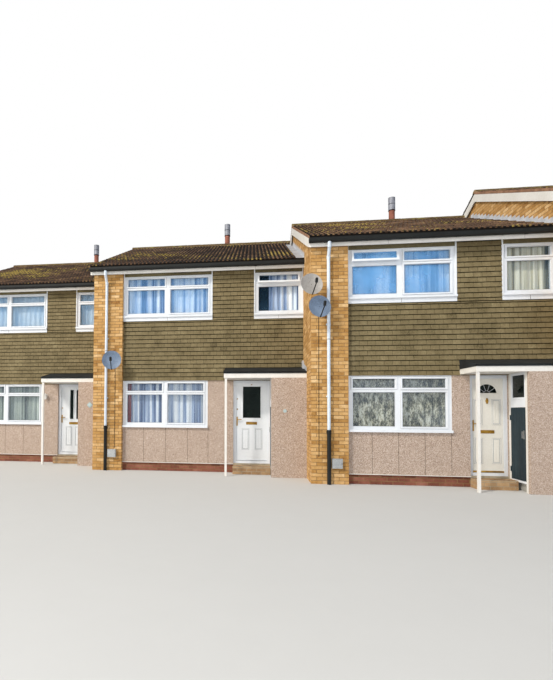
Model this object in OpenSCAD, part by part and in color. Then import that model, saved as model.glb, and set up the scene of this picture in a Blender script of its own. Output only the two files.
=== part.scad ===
// Stepped terrace of four two-storey houses, measured from outside, in millimetres.
// X runs along the row, -Y is the street side, +Z is up.
// The origin is at the foot of the third party wall, on its centre line and front wall face.

/* [Row] */
// Width of each house, from the left face of one party wall to the next
house_w = [5050, 5220, 4770, 5220]; // [4500:10:6000]
// How far each house stands forward of the one on its left
step_forward = [0, 1330, 1370, 670]; // [0:10:1600]
// How far each house stands above the one on its left
step_up = [0, 0, 0, 414]; // [0:1:600]
// Depth of a house between its front and rear wall faces
house_d = 7800; // [7000:10:9000]

/* [Walls] */
// Thickness of a party wall
party_t = 275; // [215:5:330]
// Width of the brick pier on each house's left
pier_w = 750; // [600:5:900]
// How far the pier stands forward of the wall face
pier_out = 100; // [60:5:160]
// Thickness of the front and rear walls
wall_t = 200; // [180:5:260]
// Height of the brick plinth
plinth_z = 210; // [150:5:300]
// How far the plinth is set back from the wall face
plinth_in = 20; // [10:5:40]

/* [Levels] */
// Top of the ground floor
floor_z = 225; // [215:5:260]
// Underside of the first floor
first_floor_z = 2530; // [2480:10:2600]
// Thickness of the first floor
first_floor_t = 240; // [150:10:300]
// Bottom of the tile hanging, and top of the ground floor windows
band_z = 2250; // [2230:5:2280]
// Bottom of the boards under the upper windows
apron_z = 3760; // [3700:5:3800]
// Height of the apron boards
apron_h = 90; // [60:5:120]
// Thickness of an upper window sill
sill_t = 40; // [30:5:60]
// Top of the upper windows
upper_head_z = 4900; // [4850:5:4950]

/* [Roof] */
// Pitch of both slopes
roof_pitch = 24.3; // [22:0.1:27]
// Height of the tile edge at the eaves
eave_z = 5133; // [5115:1:5160]
// How far the tile edge stands out from the wall face
eave_out = 280; // [260:5:300]
// Thickness of the roof covering, measured upright
roof_v = 52; // [45:1:54]
// Overhang of the roof past a gable wall
verge = 60; // [50:5:100]
// Radius of the ridge tiles
ridge_r = 110; // [90:5:130]
// How far the ridge tiles stand above the roof
ridge_up = 62; // [50:1:75]
// Depth of the bargeboards
barge_h = 200; // [150:5:240]
// Thickness of bargeboards, fascias and soffits
board_t = 20; // [15:1:25]
// Width of the lead step flashing up a gable wall
lead_up = 150; // [100:5:200]
// Width of the lead lying on the tiles
lead_out = 200; // [100:5:250]
// Thickness of the lead
lead_t = 4; // [3:0.5:6]

/* [Eaves] */
// How far the fascia's face stands out from the wall face
fascia_out = 220; // [200:5:225]
// Bottom of the fascia
fascia_z = 4920; // [4880:5:4940]
// Height of the fascia
fascia_h = 160; // [120:5:162]
// Underside of the soffit boards
soffit_z = 4990; // [4960:5:5010]
// Radius of the gutter's half-round bottom
gutter_r = 56; // [50:1:60]
// Height of the gutter's straight sides
gutter_side = 40; // [10:1:60]
// Thickness of the gutter
gutter_t = 4; // [3:0.5:5]
// Radius of the downpipes
pipe_r = 34; // [30:1:38]
// Gap between a downpipe and the wall
pipe_gap = 20; // [10:1:25]
// Place of the downpipe across the pier
pipe_x = 350; // [300:5:450]
// Height where the white pipe enters the lower pipe
pipe_join_z = 1120; // [900:10:1300]

/* [Windows] */
// Width of each house's large upper window
big_win_w = [2380, 2270, 2150, 2270]; // [2000:10:2450]
// How much narrower the ground floor window is
low_win_less = 110; // [60:5:160]
// Left side of each house's small upper window
small_win_x = [4010, 4040, 3750, 4040]; // [3700:10:4200]
// Width of a small window at the rear
rear_small_w = 1100; // [900:10:1150]
// Distance of the rear windows from the party walls
rear_in = 400; // [300:10:420]
// Height of the ground floor sills' underside
low_sill_z = 1080; // [1000:5:1150]
// Thickness of a ground floor sill
low_sill_t = 50; // [30:5:60]
// How far the sills stand out from the wall face
sill_out = 60; // [40:5:80]
// Setback of the window frames
frame_in = 10; // [0:5:40]
// Depth of the window frames
frame_t = 70; // [60:5:80]
// Width of a frame's side
frame_side = 105; // [80:5:130]
// Width of the middle post
mullion_w = 135; // [110:5:150]
// Height of a frame's top and bottom rails
frame_rail = 60; // [50:5:80]
// Height of the bar under the fanlights
transom_h = 80; // [60:5:100]
// Height of the fanlights
fan_h = 200; // [170:5:230]
// Width of an opening fanlight's sash
sash_w = 45; // [35:5:60]
// How far a sash laps over the frame
sash_over = 20; // [10:5:25]
// Thickness of a sash
sash_t = 45; // [40:5:60]
// How far the open fanlights swing out, in degrees
fan_swing = 12; // [5:1:25]
// Thickness of the double glazing
glazing_t = 24; // [20:1:28]
// Depth of the room for the net curtains' folds
net_t = 40; // [30:5:50]

/* [Porch] */
// Left end of each house's porch roof
canopy_x = [3300, 3350, 2940, 3350]; // [2850:10:3450]
// Projection of the porch and the store
porch_out = 700; // [650:5:760]
// Underside of the porch roof
porch_z = 2264; // [2255:1:2285]
// Height of the porch fascia
porch_fascia_h = 125; // [100:5:140]
// How far the porch roof rises to the wall
porch_rise = 170; // [100:5:200]
// Width of the porch post
post_w = 50; // [40:2:70]
// Thickness of the store's walls
store_t = 75; // [60:5:90]
// Height of the store's floor
store_floor_z = 195; // [195:1:210]
// Width of the store door's opening
store_door_w = 500; // [460:5:520]
// Top of the store door's opening
store_door_z = 1600; // [1500:5:1650]
// Height of the rail over the store door
store_rail_h = 150; // [100:5:180]

/* [Doors] */
// Distance from the porch roof's end to the front door frame
door_in = 190; // [150:5:220]
// Width over each front door's frame
door_w = [880, 890, 720, 890]; // [700:10:950]
// Width over a back door's frame
rear_door_w = 880; // [820:10:950]
// Width of a frame jamb, and height of its head
jamb_w = 50; // [40:1:60]
// Front of the door frames, behind the wall face
jamb_in = 60; // [40:5:70]
// Width of the door stops
stop_w = 15; // [12:1:20]
// Thickness of a front door
leaf_t = 44; // [40:1:50]
// Clearance round each door
leaf_gap = 7; // [7:0.5:9]
// Height of the threshold
threshold_h = 60; // [40:5:70]
// Length of the brick step in front of the door
step_l = 300; // [200:10:400]
// Height of the step's top
step_z = 185; // [120:5:190]
// Rise of the further steps to a raised house
step_rise = 200; // [170:5:210]
// Thickness of a store door
store_leaf_t = 35; // [30:1:40]
// Radius of a hinge's barrel
hinge_r = 8; // [6:0.5:9]
// Height of a hinge
hinge_h = 100; // [80:5:120]
// Width of a letter plate
letter_w = 244; // [220:2:260]
// Height of a letter plate
letter_h = 46; // [38:2:60]

/* [Fittings] */
// Place of each flue along its house
flue_x = [3150, 3160, 2840, 3160]; // [2500:10:3500]
// Distance of a flue behind the ridge
flue_back = 205; // [200:5:300]
// Height of the flue's top above the ridge
flue_up = 718; // [500:1:800]
// Height of the wider casing at the flue's top
flue_case = 380; // [200:10:450]
// How much the casing is wider than the flue, on each side
flue_case_out = 12; // [5:1:20]
// Radius of a flue pipe
flue_r = 83; // [60:1:90]
// Radius of each satellite dish
dish_r = [235, 225, 230]; // [180:5:250]
// Place of each dish across its pier
dish_x = [560, 50, 130]; // [50:10:690]
// How far each dish's tube stands left of the middle of its wall plate
dish_side = [0, 34, 0]; // [0:1:34]
// How far the tube meets each dish off its middle
dish_off = [0, 44, 0]; // [0:1:50]
// Height of each dish's bracket
dish_z = [2735, 4093, 3632]; // [2500:1:4300]
// Depth of a dish's bowl
dish_bowl = 42; // [30:1:60]
// Distance of a dish from the wall
dish_reach = 260; // [250:5:300]
// Length of the arm to a dish's receiver
dish_arm = 300; // [250:5:330]
// Radius of a dish's bracket tube
dish_tube = 16; // [12:1:20]
// Width of a dish's wall plate
dish_plate = 100; // [80:5:120]
// Turn of the dishes to the left, in degrees
dish_turn = 12; // [0:1:30]
// Tilt of the dishes upwards, in degrees
dish_tilt = 8; // [0:1:30]
// Height of a meter box's foot
meter_z = 330; // [250:10:500]
// Gap between a meter box and the lower pipe beside it
meter_gap = 20; // [10:5:60]
// Width of a meter box
meter_w = 210; // [150:5:250]
// Height of a meter box
meter_h = 200; // [150:5:300]
// Depth of a meter box
meter_t = 70; // [50:5:100]

/* [Hidden] */
last = len(house_w) - 1;
join_gap = 2;
seat = 0.3;
hinge_over = 3;
slope = tan(roof_pitch);
ridge_y = house_d / 2;
upper_sill_z = apron_z + apron_h;
upper_win_z = upper_sill_z + sill_t;
low_win_z = low_sill_z + low_sill_t;
wall_top = eave_z + eave_out * slope - roof_v - seat;
glass_in = frame_in + (frame_t - glazing_t) / 2;
net_in = wall_t - net_t - 15;
door_head_z = band_z - jamb_w;
threshold_z = floor_z + threshold_h;
leaf_in = jamb_in + 35;
frame_back = leaf_in + leaf_t;
hinge_y = frame_back + seat + hinge_r;
fascia_in = fascia_out - board_t;
porch_top_z = porch_z + porch_fascia_h;
store_post_in = (porch_out - store_t - store_door_w) / 2;
store_win_z = store_door_z + store_rail_h;
net_gap = 4;

brick = "#b98a54";
white = "#eef0ec";
tile_brown = "#6d6247";
roof_brown = "#5d4a3a";
pebble = "#cfc6b4";

// Places of a house's left face, wall face and ground level
function sum_w(a, b) = a >= b ? 0 : house_w[a] + sum_w(a + 1, b);
function house_x(i) = (i >= 2 ? sum_w(2, i) : -sum_w(i, 2)) - party_t / 2;
function house_y(i) = i > 2 ? house_y(i - 1) - step_forward[i] : i < 2 ? house_y(i + 1) + step_forward[i + 1] : 0;
function house_z(i) = i <= 2 ? 0 : house_z(i - 1) + step_up[i];

// Heights of a roof's top and underside at a distance behind the front wall face
function roof_top(y) = eave_z + (y <= ridge_y ? y + eave_out : house_d + eave_out - y) * slope;
function roof_under(y) = roof_top(y) - roof_v;
function wall_line(y) = roof_under(y) - seat;
function own_above(i) = step_up[i] > 0;
// Where the roofs of a house and its left neighbour cross, behind the house's front wall
function crossing(i) = ridge_y + step_forward[i] / 2;
function wall_split(i) = own_above(i) ? house_d : crossing(i);
function nb_top(i, y) = roof_top(y - step_forward[i]) - step_up[i];
// Where the underside of a house's rear slope meets the front slope of the roof behind it
function meeting(i) = ridge_y + (step_forward[i] + (step_up[i] - roof_v) / slope) / 2;

// Right ends of the windows, and sides of doors and stores
function big_r(i) = pier_w + big_win_w[i];
function low_r(i) = big_r(i) - low_win_less;
function door_x(i) = canopy_x[i] + door_in;
function store_x(i) = door_x(i) + door_w[i];
function rear_x(i) = party_t + rear_in;
function rear_r(i) = rear_x(i) + big_win_w[i];
function rear_small_x(i) = house_w[i] - rear_in - rear_small_w;
function rear_door_x(i) = house_w[i] - rear_in - rear_door_w;
function rear_left(i, edge) = i == 0 ? edge : own_above(i) ? party_t + verge + join_gap : party_t;
function rear_right(i) = house_w[i] + party_t + verge;
function front_right(i) = house_w[i] + (i == last ? party_t : 0);

module house(i) {
    translate([house_x(i), house_y(i), house_z(i)])
        children();
}

module rear_of(i) {
    house(i)
        translate([0, house_d, 0])
            mirror([0, 1, 0])
                children();
}

// A box between two corners
module block(a, b) {
    translate(a)
        cube(b - a);
}

// An outline in the YZ plane, extruded from x0 to x1
module across(x0, x1, points) {
    translate([x0, 0, 0])
        rotate([90, 0, 90])
            linear_extrude(x1 - x0)
                polygon(points);
}

module brick_piers() {
    color(brick)
        for (i = [0:last])
            house(i)
                across(0, pier_w, [[-pier_out, -house_z(i)], [wall_t, -house_z(i)],
                    [wall_t, wall_line(wall_t)], [-pier_out, wall_line(-pier_out)]]);
}

// A gable outline from the front to y1, under a roof with its ridge at ridge_y
module gable(x0, x1, y0, y1, foot) {
    across(x0, x1, [[y0, foot], [y1, foot], [y1, wall_line(y1)], [ridge_y, wall_line(ridge_y)],
        [y0, wall_line(y0)]]);
}

module party_and_end_walls() {
    color(brick) {
        for (i = [1:last])
            house(i)
                gable(0, party_t, wall_t, wall_split(i), -house_z(i));
        house(0)
            gable(0, party_t, wall_t, house_d, 0);
        house(last)
            gable(house_w[last], house_w[last] + party_t, -pier_out, house_d, -house_z(last));
    }
}

module party_walls_rear() {
    color(brick)
        for (i = [1:last]) {
            y0 = wall_split(i);
            y1 = house_d + step_forward[i];
            house(i)
                across(0, party_t, concat([[y0, -house_z(i)], [y1, -house_z(i)],
                    [y1, nb_top(i, y1) - roof_v - seat]],
                    own_above(i) ? [] : [[ridge_y + step_forward[i], wall_line(ridge_y)]],
                    [[y0, nb_top(i, y0) - roof_v - seat]]));
        }
}

module plinth_walls() {
    color("#8e4a3a")
        for (i = [0:last]) {
            house(i)
                block([pier_w, plinth_in, -house_z(i)], [door_x(i), wall_t, plinth_z]);
            rear_of(i) {
                block([party_t, plinth_in, -house_z(i)], [rear_door_x(i), wall_t, plinth_z]);
                block([rear_door_x(i) + rear_door_w, plinth_in, -house_z(i)],
                    [house_w[i], wall_t, plinth_z]);
            }
        }
}

module floors() {
    color("#b7afa3")
        for (i = [0:last])
            house(i) {
                block([party_t, wall_t, -house_z(i)], [house_w[i], house_d - wall_t, floor_z]);
                block([party_t, wall_t, first_floor_z],
                    [house_w[i], house_d - wall_t, first_floor_z + first_floor_t]);
                block([store_x(i) + store_t, -porch_out + store_t, -house_z(i)],
                    [house_w[i] - (i == last ? store_t : 0), 0, store_floor_z]);
            }
}

module under_window_panels() {
    color(pebble)
        for (i = [0:last]) {
            house(i)
                block([pier_w, 0, plinth_z], [low_r(i), wall_t, low_sill_z]);
            rear_of(i)
                block([rear_x(i), 0, plinth_z], [rear_r(i) - low_win_less, wall_t, low_sill_z]);
        }
}

module side_panels() {
    color(pebble)
        for (i = [0:last]) {
            house(i)
                block([low_r(i), 0, plinth_z], [door_x(i), wall_t, band_z]);
            rear_of(i) {
                block([party_t, 0, plinth_z], [rear_x(i), wall_t, band_z]);
                block([rear_r(i) - low_win_less, 0, plinth_z], [rear_door_x(i), wall_t, band_z]);
                block([rear_door_x(i) + rear_door_w, 0, plinth_z], [house_w[i], wall_t, band_z]);
            }
        }
}

module tile_hung_bands() {
    color(tile_brown)
        for (i = [0:last]) {
            house(i)
                block([pier_w, 0, band_z], [house_w[i], wall_t, apron_z]);
            rear_of(i)
                block([party_t, 0, band_z], [house_w[i], wall_t, apron_z]);
        }
}

module tile_hung_piers() {
    color(tile_brown)
        for (i = [0:last]) {
            house(i)
                block([big_r(i), 0, apron_z], [small_win_x[i], wall_t, wall_top]);
            rear_of(i) {
                block([party_t, 0, apron_z], [rear_x(i), wall_t, wall_top]);
                block([rear_r(i), 0, apron_z], [rear_small_x(i), wall_t, wall_top]);
                block([rear_small_x(i) + rear_small_w, 0, apron_z], [house_w[i], wall_t, wall_top]);
            }
        }
}

// Children stand at each upper window: $w is its width and $big tells its kind
module upper_windows(i) {
    $rear = false;
    house(i) {
        translate([pier_w, 0, 0]) {
            $w = big_win_w[i];
            $big = true;
            children();
        }
        translate([small_win_x[i], 0, 0]) {
            $w = house_w[i] - small_win_x[i];
            $big = false;
            children();
        }
    }
    rear_of(i) {
        $rear = true;
        translate([rear_x(i), 0, 0]) {
            $w = big_win_w[i];
            $big = true;
            children();
        }
        translate([rear_small_x(i), 0, 0]) {
            $w = rear_small_w;
            $big = false;
            children();
        }
    }
}

// Children stand at each ground floor window
module lower_windows(i) {
    $w = big_win_w[i] - low_win_less;
    $big = true;
    house(i)
        translate([pier_w, 0, 0])
            children();
    rear_of(i)
        translate([rear_x(i), 0, 0])
            children();
}

module head_boards() {
    color("#b9b08f")
        for (i = [0:last])
            upper_windows(i)
                block([0, 0, upper_head_z], [$w, wall_t, wall_top]);
}

module window_sills() {
    color(white)
        for (i = [0:last]) {
            upper_windows(i)
                block([0, -sill_out, upper_sill_z], [$w, wall_t, upper_win_z]);
            lower_windows(i)
                block([0, -sill_out, low_sill_z], [$w, wall_t, low_win_z]);
        }
}

module apron_boards() {
    color(white)
        for (i = [0:last])
            upper_windows(i)
                block([0, -board_t, apron_z], [$w, wall_t, upper_sill_z]);
}

// Corners of a window's lights: two rows, in two columns on a wide window
function lights(w, h, wide) =
    let (cols = wide ? [[frame_side, (w - mullion_w) / 2], [(w + mullion_w) / 2, w - frame_side]]
        : [[frame_side, w - frame_side]],
        fan_z = h - frame_rail - fan_h,
        rows = [[frame_rail, fan_z - transom_h], [fan_z, h - frame_rail]])
    [for (c = cols) for (r = rows) [c[0], r[0], c[1], r[1]]];

module frame(w, h, wide) {
    difference() {
        block([0, frame_in, 0], [w, frame_in + frame_t, h]);
        for (l = lights(w, h, wide))
            block([l[0], frame_in - 1, l[1]], [l[2], frame_in + frame_t + 1, l[3]]);
    }
}

// Which light of a window stands open: 1 is the fanlight on the left, 0 is none
function open_light(i, rear, big) = !rear && ((i == 2 && big) || (i == 1 && !big)) ? 1 : 0;

module panes(w, h, wide, open) {
    list = lights(w, h, wide);
    for (k = [0:len(list) - 1])
        if (open == 0 || k != open)
            block([list[k][0], glass_in, list[k][1]], [list[k][2], glass_in + glazing_t, list[k][3]]);
}

// Children stand at an open fanlight's top edge, swung out: $w is its width
module open_fans() {
    h = upper_head_z - upper_win_z;
    for (i = [1, 2]) {
        wide = i == 2;
        l = lights(wide ? big_win_w[i] : house_w[i] - small_win_x[i], h, wide)[1];
        $w = l[2] - l[0] + 2 * sash_over;
        house(i)
            translate([(wide ? pier_w : small_win_x[i]) + l[0] - sash_over, frame_in - seat, upper_win_z + l[3] + sash_over])
                rotate([-fan_swing, 0, 0])
                    children();
    }
}

module window_frames() {
    color(white) {
        open_fans()
            difference() {
                block([0, -sash_t, -fan_h - 2 * sash_over], [$w, 0, 0]);
                block([sash_w, -sash_t - 1, -fan_h - 2 * sash_over + sash_w], [$w - sash_w, 1, -sash_w]);
            }
        for (i = [0:last]) {
            upper_windows(i)
                translate([0, 0, upper_win_z])
                    frame($w, upper_head_z - upper_win_z, $big);
            lower_windows(i)
                translate([0, 0, low_win_z])
                    frame($w, band_z - low_win_z, $big);
        }
    }
}

module window_glass() {
    color("#9fb4bd") {
        open_fans()
            block([sash_w, 10 - sash_t, -fan_h - 2 * sash_over + sash_w],
                [$w - sash_w, 10 + glazing_t - sash_t, -sash_w]);
        for (i = [0:last]) {
            upper_windows(i)
                translate([0, 0, upper_win_z])
                    panes($w, upper_head_z - upper_win_z, $big, open_light(i, $rear, $big));
            lower_windows(i)
                translate([0, 0, low_win_z])
                    panes($w, band_z - low_win_z, $big, 0);
            house(i)
                block([store_x(i) + 25, -porch_out + store_t + store_post_in, store_win_z],
                    [store_x(i) + 31, -store_post_in, porch_z]);
        }
    }
}

module net_curtains() {
    color("#f4f4ef")
        for (i = [0:last]) {
            upper_windows(i)
                block([0, net_in, upper_win_z + net_gap], [$w, net_in + net_t, upper_head_z]);
            lower_windows(i)
                block([0, net_in, low_win_z + net_gap], [$w, net_in + net_t, band_z]);
        }
}

// Children stand at each doorway's left side; $w is the width over its frame
module doorways(i) {
    house(i)
        translate([door_x(i), 0, 0]) {
            $w = door_w[i];
            children();
        }
    rear_of(i)
        translate([rear_door_x(i), 0, 0]) {
            $w = rear_door_w;
            children();
        }
}

module door_jambs() {
    color(white)
        for (i = [0:last])
            doorways(i) {
                block([0, jamb_in, floor_z], [jamb_w, frame_back, band_z]);
                block([$w - jamb_w, jamb_in, floor_z], [$w, frame_back, band_z]);
            }
}

module door_rails() {
    stop = leaf_in - leaf_gap;
    color(white)
        for (i = [0:last]) {
            doorways(i) {
                block([jamb_w, jamb_in, floor_z], [$w - jamb_w, frame_back, threshold_z]);
                block([jamb_w, jamb_in, door_head_z], [$w - jamb_w, frame_back, band_z]);
                block([jamb_w, jamb_in, threshold_z + seat],
                    [jamb_w + stop_w, stop, door_head_z - seat]);
                block([$w - jamb_w - stop_w, jamb_in, threshold_z + seat],
                    [$w - jamb_w, stop, door_head_z - seat]);
                block([jamb_w + stop_w + seat, jamb_in, door_head_z - stop_w],
                    [$w - jamb_w - stop_w - seat, stop, door_head_z - seat]);
            }
            house(i)
                for (z = [store_floor_z - 30, store_door_z])
                    block([store_x(i), -porch_out + store_t + store_post_in, z],
                        [store_x(i) + store_t, -store_post_in, z + (z < 1000 ? 40 : store_rail_h)]);
        }
}

module door_steps() {
    color("#9c8f80")
        for (i = [0:last])
            doorways(i) {
                block([0, 0, -house_z(i)], [$w, wall_t, floor_z]);
                for (k = [0:floor(house_z(i) / step_rise)])
                    block([0, -(k + 1) * step_l, -house_z(i)], [$w, -k * step_l - seat, step_z - k * step_rise]);
            }
}

// A door leaf between its clearances, with its foot at the threshold
module leaf(w, y0, t) {
    block([jamb_w + leaf_gap, y0, threshold_z + leaf_gap],
        [w - jamb_w - leaf_gap, y0 + t, door_head_z - leaf_gap]);
}

module fixed_doors() {
    color("#5b6b5d")
        for (i = [0:last]) {
            rear_of(i)
                translate([rear_door_x(i), 0, 0])
                    block([jamb_w, leaf_in, threshold_z],
                        [rear_door_w - jamb_w, frame_back, door_head_z]);
            if (i == last)
                house(i)
                    translate([door_x(i), 0, 0])
                        block([jamb_w, leaf_in, threshold_z],
                            [door_w[i] - jamb_w, frame_back, door_head_z]);
            if (i != 2)
                house(i)
                    block([store_x(i), -porch_out + store_t + store_post_in, store_floor_z + 10],
                        [store_x(i) + store_leaf_t, -store_post_in, store_door_z]);
        }
}

module store_walls() {
    color(pebble)
        for (i = [0:last])
            house(i) {
                block([store_x(i), -porch_out, -house_z(i)], [house_w[i], -porch_out + store_t, porch_z]);
                block([store_x(i), 0, -house_z(i)], [house_w[i], wall_t, band_z]);
                if (i == last)
                    block([house_w[i] - store_t, -porch_out + store_t + join_gap, -house_z(i)],
                        [house_w[i], -join_gap, porch_z]);
            }
}

module porch_posts() {
    color(white)
        for (i = [0:last])
            house(i) {
                block([canopy_x[i] + board_t, -porch_out + board_t, -house_z(i)],
                    [canopy_x[i] + board_t + post_w, -porch_out + board_t + post_w, porch_z]);
                block([store_x(i), -porch_out + store_t, -house_z(i)],
                    [store_x(i) + store_t, -porch_out + store_t + store_post_in, porch_z]);
                block([store_x(i), -store_post_in, -house_z(i)], [store_x(i) + store_t, 0, porch_z]);
            }
}

module porch_roofs() {
    color("#2f3133")
        for (i = [0:last])
            house(i)
                across(canopy_x[i], house_w[i], [[-porch_out - 15, porch_top_z], [0, porch_top_z],
                    [0, porch_top_z + porch_rise], [-porch_out - 15, porch_top_z + 12]]);
}

// A slab of roof between x0 and x1, from y0 to y1 on one slope
module slab(x0, x1, y0, y1) {
    across(x0, x1, [[y0, roof_under(y0)], [y1, roof_under(y1)], [y1, roof_top(y1)], [y0, roof_top(y0)]]);
}

module roof_front() {
    color(roof_brown)
        for (i = [0:last])
            house(i)
                slab(-verge, front_right(i) + (i == last ? verge : 0), -eave_out, ridge_y);
}

module roof_rear() {
    color(roof_brown)
        for (i = [0:last])
            house(i)
                slab(own_above(i) || i == 0 ? -verge : party_t,
                    house_w[i] + (i < last && own_above(i + 1) ? 0 : party_t + verge),
                    ridge_y, house_d + eave_out);
}

// Strips of roof over the party walls, where one house's roof is above its neighbour's
module roof_over_walls() {
    color(roof_brown)
        for (i = [1:last])
            if (!own_above(i)) {
                house(i) {
                    slab(0, party_t, ridge_y, crossing(i) - join_gap / 2);
                    slab(-verge, -seat, ridge_y, meeting(i) - join_gap);
                }
                house(i - 1)
                    translate([house_w[i - 1], 0, 0]) {
                        slab(0, party_t, house_d - crossing(i) + join_gap / 2, ridge_y);
                        slab(party_t + seat, party_t + verge, house_d - meeting(i) + join_gap, ridge_y);
                    }
            } else
                house(i - 1)
                    slab(house_w[i - 1], house_w[i - 1] + party_t + verge,
                        house_d - step_forward[i], house_d + eave_out);
}

module ridge_tiles() {
    color("#6b4a36")
        for (i = [0:last])
            house(i)
                translate([-verge, 0, 0])
                    rotate([90, 0, 90])
                        linear_extrude(house_w[i] + (i < last && own_above(i + 1) ? -join_gap : party_t + 2 * verge))
                            difference() {
                                translate([ridge_y, roof_top(ridge_y) + ridge_up - ridge_r])
                                    circle(r = ridge_r, $fn = 48);
                                polygon([[0, 0], [house_d, 0], [house_d, roof_top(house_d) + seat],
                                    [ridge_y, roof_top(ridge_y) + seat], [0, roof_top(0) + seat]]);
                            }
}

// A bargeboard under the front slope's edge, its left face at x0
module barge(x0) {
    y1 = ridge_y - join_gap / 2;
    across(x0, x0 + board_t, [[-fascia_out, wall_line(-fascia_out)], [y1, wall_line(y1)],
        [y1, wall_line(y1) - barge_h], [60, wall_line(60) - barge_h], [-fascia_out, fascia_z]]);
}

// A short bargeboard from the ridge down the rear slope, over the front slope of the roof
// behind; above is the height of the slope's underside over that roof at the ridge
module short_barge(x0, above) {
    full = (above - barge_h) / slope / 2;
    end = (above - 20) / slope / 2;
    y0 = ridge_y + join_gap / 2;
    z0 = wall_line(y0);
    across(x0, x0 + board_t, [[y0, z0], [ridge_y + end, wall_line(ridge_y + end)],
        [ridge_y + end, wall_line(ridge_y + end) - 12],
        [ridge_y + full, wall_line(ridge_y + full) - barge_h + 8], [y0, z0 - barge_h]]);
}

module bargeboards() {
    right = party_t + verge - board_t;
    color(white)
        for (i = [0:last]) {
            house(i) {
                barge(-verge);
                if (i > 0)
                    short_barge(-verge, step_forward[i] * slope + step_up[i] - roof_v);
                if (i == last)
                    barge(house_w[i] + right);
            }
            rear_of(i) {
                if (i == 0)
                    barge(-verge);
                if (i < last && !own_above(i + 1))
                    short_barge(house_w[i] + right, step_forward[i + 1] * slope - roof_v);
                if (i == last || !own_above(i + 1))
                    barge(house_w[i] + right);
                else
                    across(house_w[i] + right, house_w[i] + right + board_t,
                        [[-fascia_out, wall_line(-fascia_out)], [step_forward[i + 1], wall_line(step_forward[i + 1])],
                            [step_forward[i + 1], wall_line(step_forward[i + 1]) - barge_h],
                            [60, wall_line(60) - barge_h], [-fascia_out, fascia_z]]);
            }
        }
}

module fascia_boards() {
    color(white)
        for (i = [0:last]) {
            house(i) {
                block([-verge + board_t, -fascia_out, fascia_z],
                    [front_right(i) + (i == last ? verge - board_t : 0), -fascia_in, fascia_z + fascia_h]);
                block([canopy_x[i], -porch_out, porch_z], [house_w[i], -porch_out + board_t, porch_top_z]);
                block([canopy_x[i], -porch_out + board_t + seat, porch_z],
                    [canopy_x[i] + board_t, 0, porch_top_z]);
            }
            rear_of(i)
                block([rear_left(i, -verge + board_t), -fascia_out, fascia_z],
                    [rear_right(i) - board_t, -fascia_in, fascia_z + fascia_h]);
        }
}

module soffit_boards() {
    color(white)
        for (i = [0:last]) {
            house(i) {
                translate([0, 0, soffit_z])
                    linear_extrude(board_t)
                        polygon([[-verge + board_t, -fascia_in], [front_right(i), -fascia_in],
                            [front_right(i), -pier_out], [house_w[i], -pier_out], [house_w[i], 0],
                            [pier_w, 0], [pier_w, -pier_out], [-verge + board_t, -pier_out]]);
                block([canopy_x[i] + board_t, -porch_out + board_t, porch_z],
                    [house_w[i], 0, porch_z + board_t]);
            }
            rear_of(i)
                block([rear_left(i, -verge + board_t), -fascia_in, soffit_z],
                    [rear_right(i) - board_t, 0, soffit_z + board_t]);
        }
}

// A gutter's section: straight sides over a half-round bottom, rise above them
module trough(r, rise) {
    translate([-r, 0])
        square([2 * r, gutter_side + rise]);
    difference() {
        circle(r = r, $fn = 48);
        translate([-r - 1, 0])
            square([2 * r + 2, r + 1]);
    }
}

// A deep gutter with closed ends, from x0 to x1
module gutter(x0, x1) {
    translate([x0, -fascia_out - gutter_r, fascia_z + fascia_h - gutter_side])
        rotate([90, 0, 90]) {
            linear_extrude(x1 - x0)
                difference() {
                    trough(gutter_r, 0);
                    trough(gutter_r - gutter_t, 1);
                }
            for (z = [0, x1 - x0 - gutter_t])
                translate([0, 0, z])
                    linear_extrude(gutter_t)
                        trough(gutter_r, 0);
        }
}

module gutters() {
    color("#23272b")
        for (i = [0:last]) {
            house(i)
                gutter(-verge, front_right(i) + (i == last ? verge : 0));
            rear_of(i)
                gutter(rear_left(i, -verge), rear_right(i));
        }
}

// The white pipe: a stub under the gutter, a sloping length back to the wall between two
// sockets, and a straight pipe down to the joint
module upper_pipe(wall_y) {
    y1 = -fascia_out - gutter_r;
    y2 = wall_y - pipe_gap - pipe_r;
    z1 = fascia_z - 20;
    z2 = z1 - 180;
    run = [0, y2 - y1, z2 - z1];
    difference() {
        translate([0, y1, z1 - 25])
            cylinder(r = pipe_r + 5, h = fascia_z + fascia_h - z1, $fn = 32);
        translate([-gutter_r, y1, fascia_z + fascia_h - gutter_side])
            rotate([0, 90, 0])
                cylinder(r = gutter_r + seat, h = 2 * gutter_r, $fn = 48);
    }
    translate([0, y1, z1])
        rotate([-atan2(run[1], run[2]), 0, 0])
            cylinder(r = pipe_r, h = norm(run), $fn = 32);
    translate([0, y2, z2 - 40])
        cylinder(r = pipe_r + 5, h = 65, $fn = 32);
    translate([0, y2, pipe_join_z])
        cylinder(r = pipe_r, h = z2 - pipe_join_z - 40 - seat, $fn = 32);
    for (z = [1800, 3300])
        block([-pipe_r - 12, y2 + pipe_r - 4, z], [pipe_r + 12, wall_y, z + 30]);
}

module downpipes() {
    color("#e6eaee")
        for (i = [0:last]) {
            house(i)
                translate([pipe_x, 0, 0])
                    upper_pipe(-pier_out);
            rear_of(i)
                translate([house_w[i] - rear_in / 2, 0, 0])
                    upper_pipe(0);
        }
}

module lower_pipe(wall_y, foot) {
    y2 = wall_y - pipe_gap - pipe_r;
    translate([0, y2, foot])
        cylinder(r = pipe_r + 6, h = pipe_join_z - foot, $fn = 32);
    translate([0, y2, pipe_join_z - 90])
        cylinder(r = pipe_r + 13, h = 90, $fn = 32);
    block([-pipe_r - 12, y2 + pipe_r, pipe_join_z - 60], [pipe_r + 12, wall_y, pipe_join_z - 30]);
}

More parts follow.
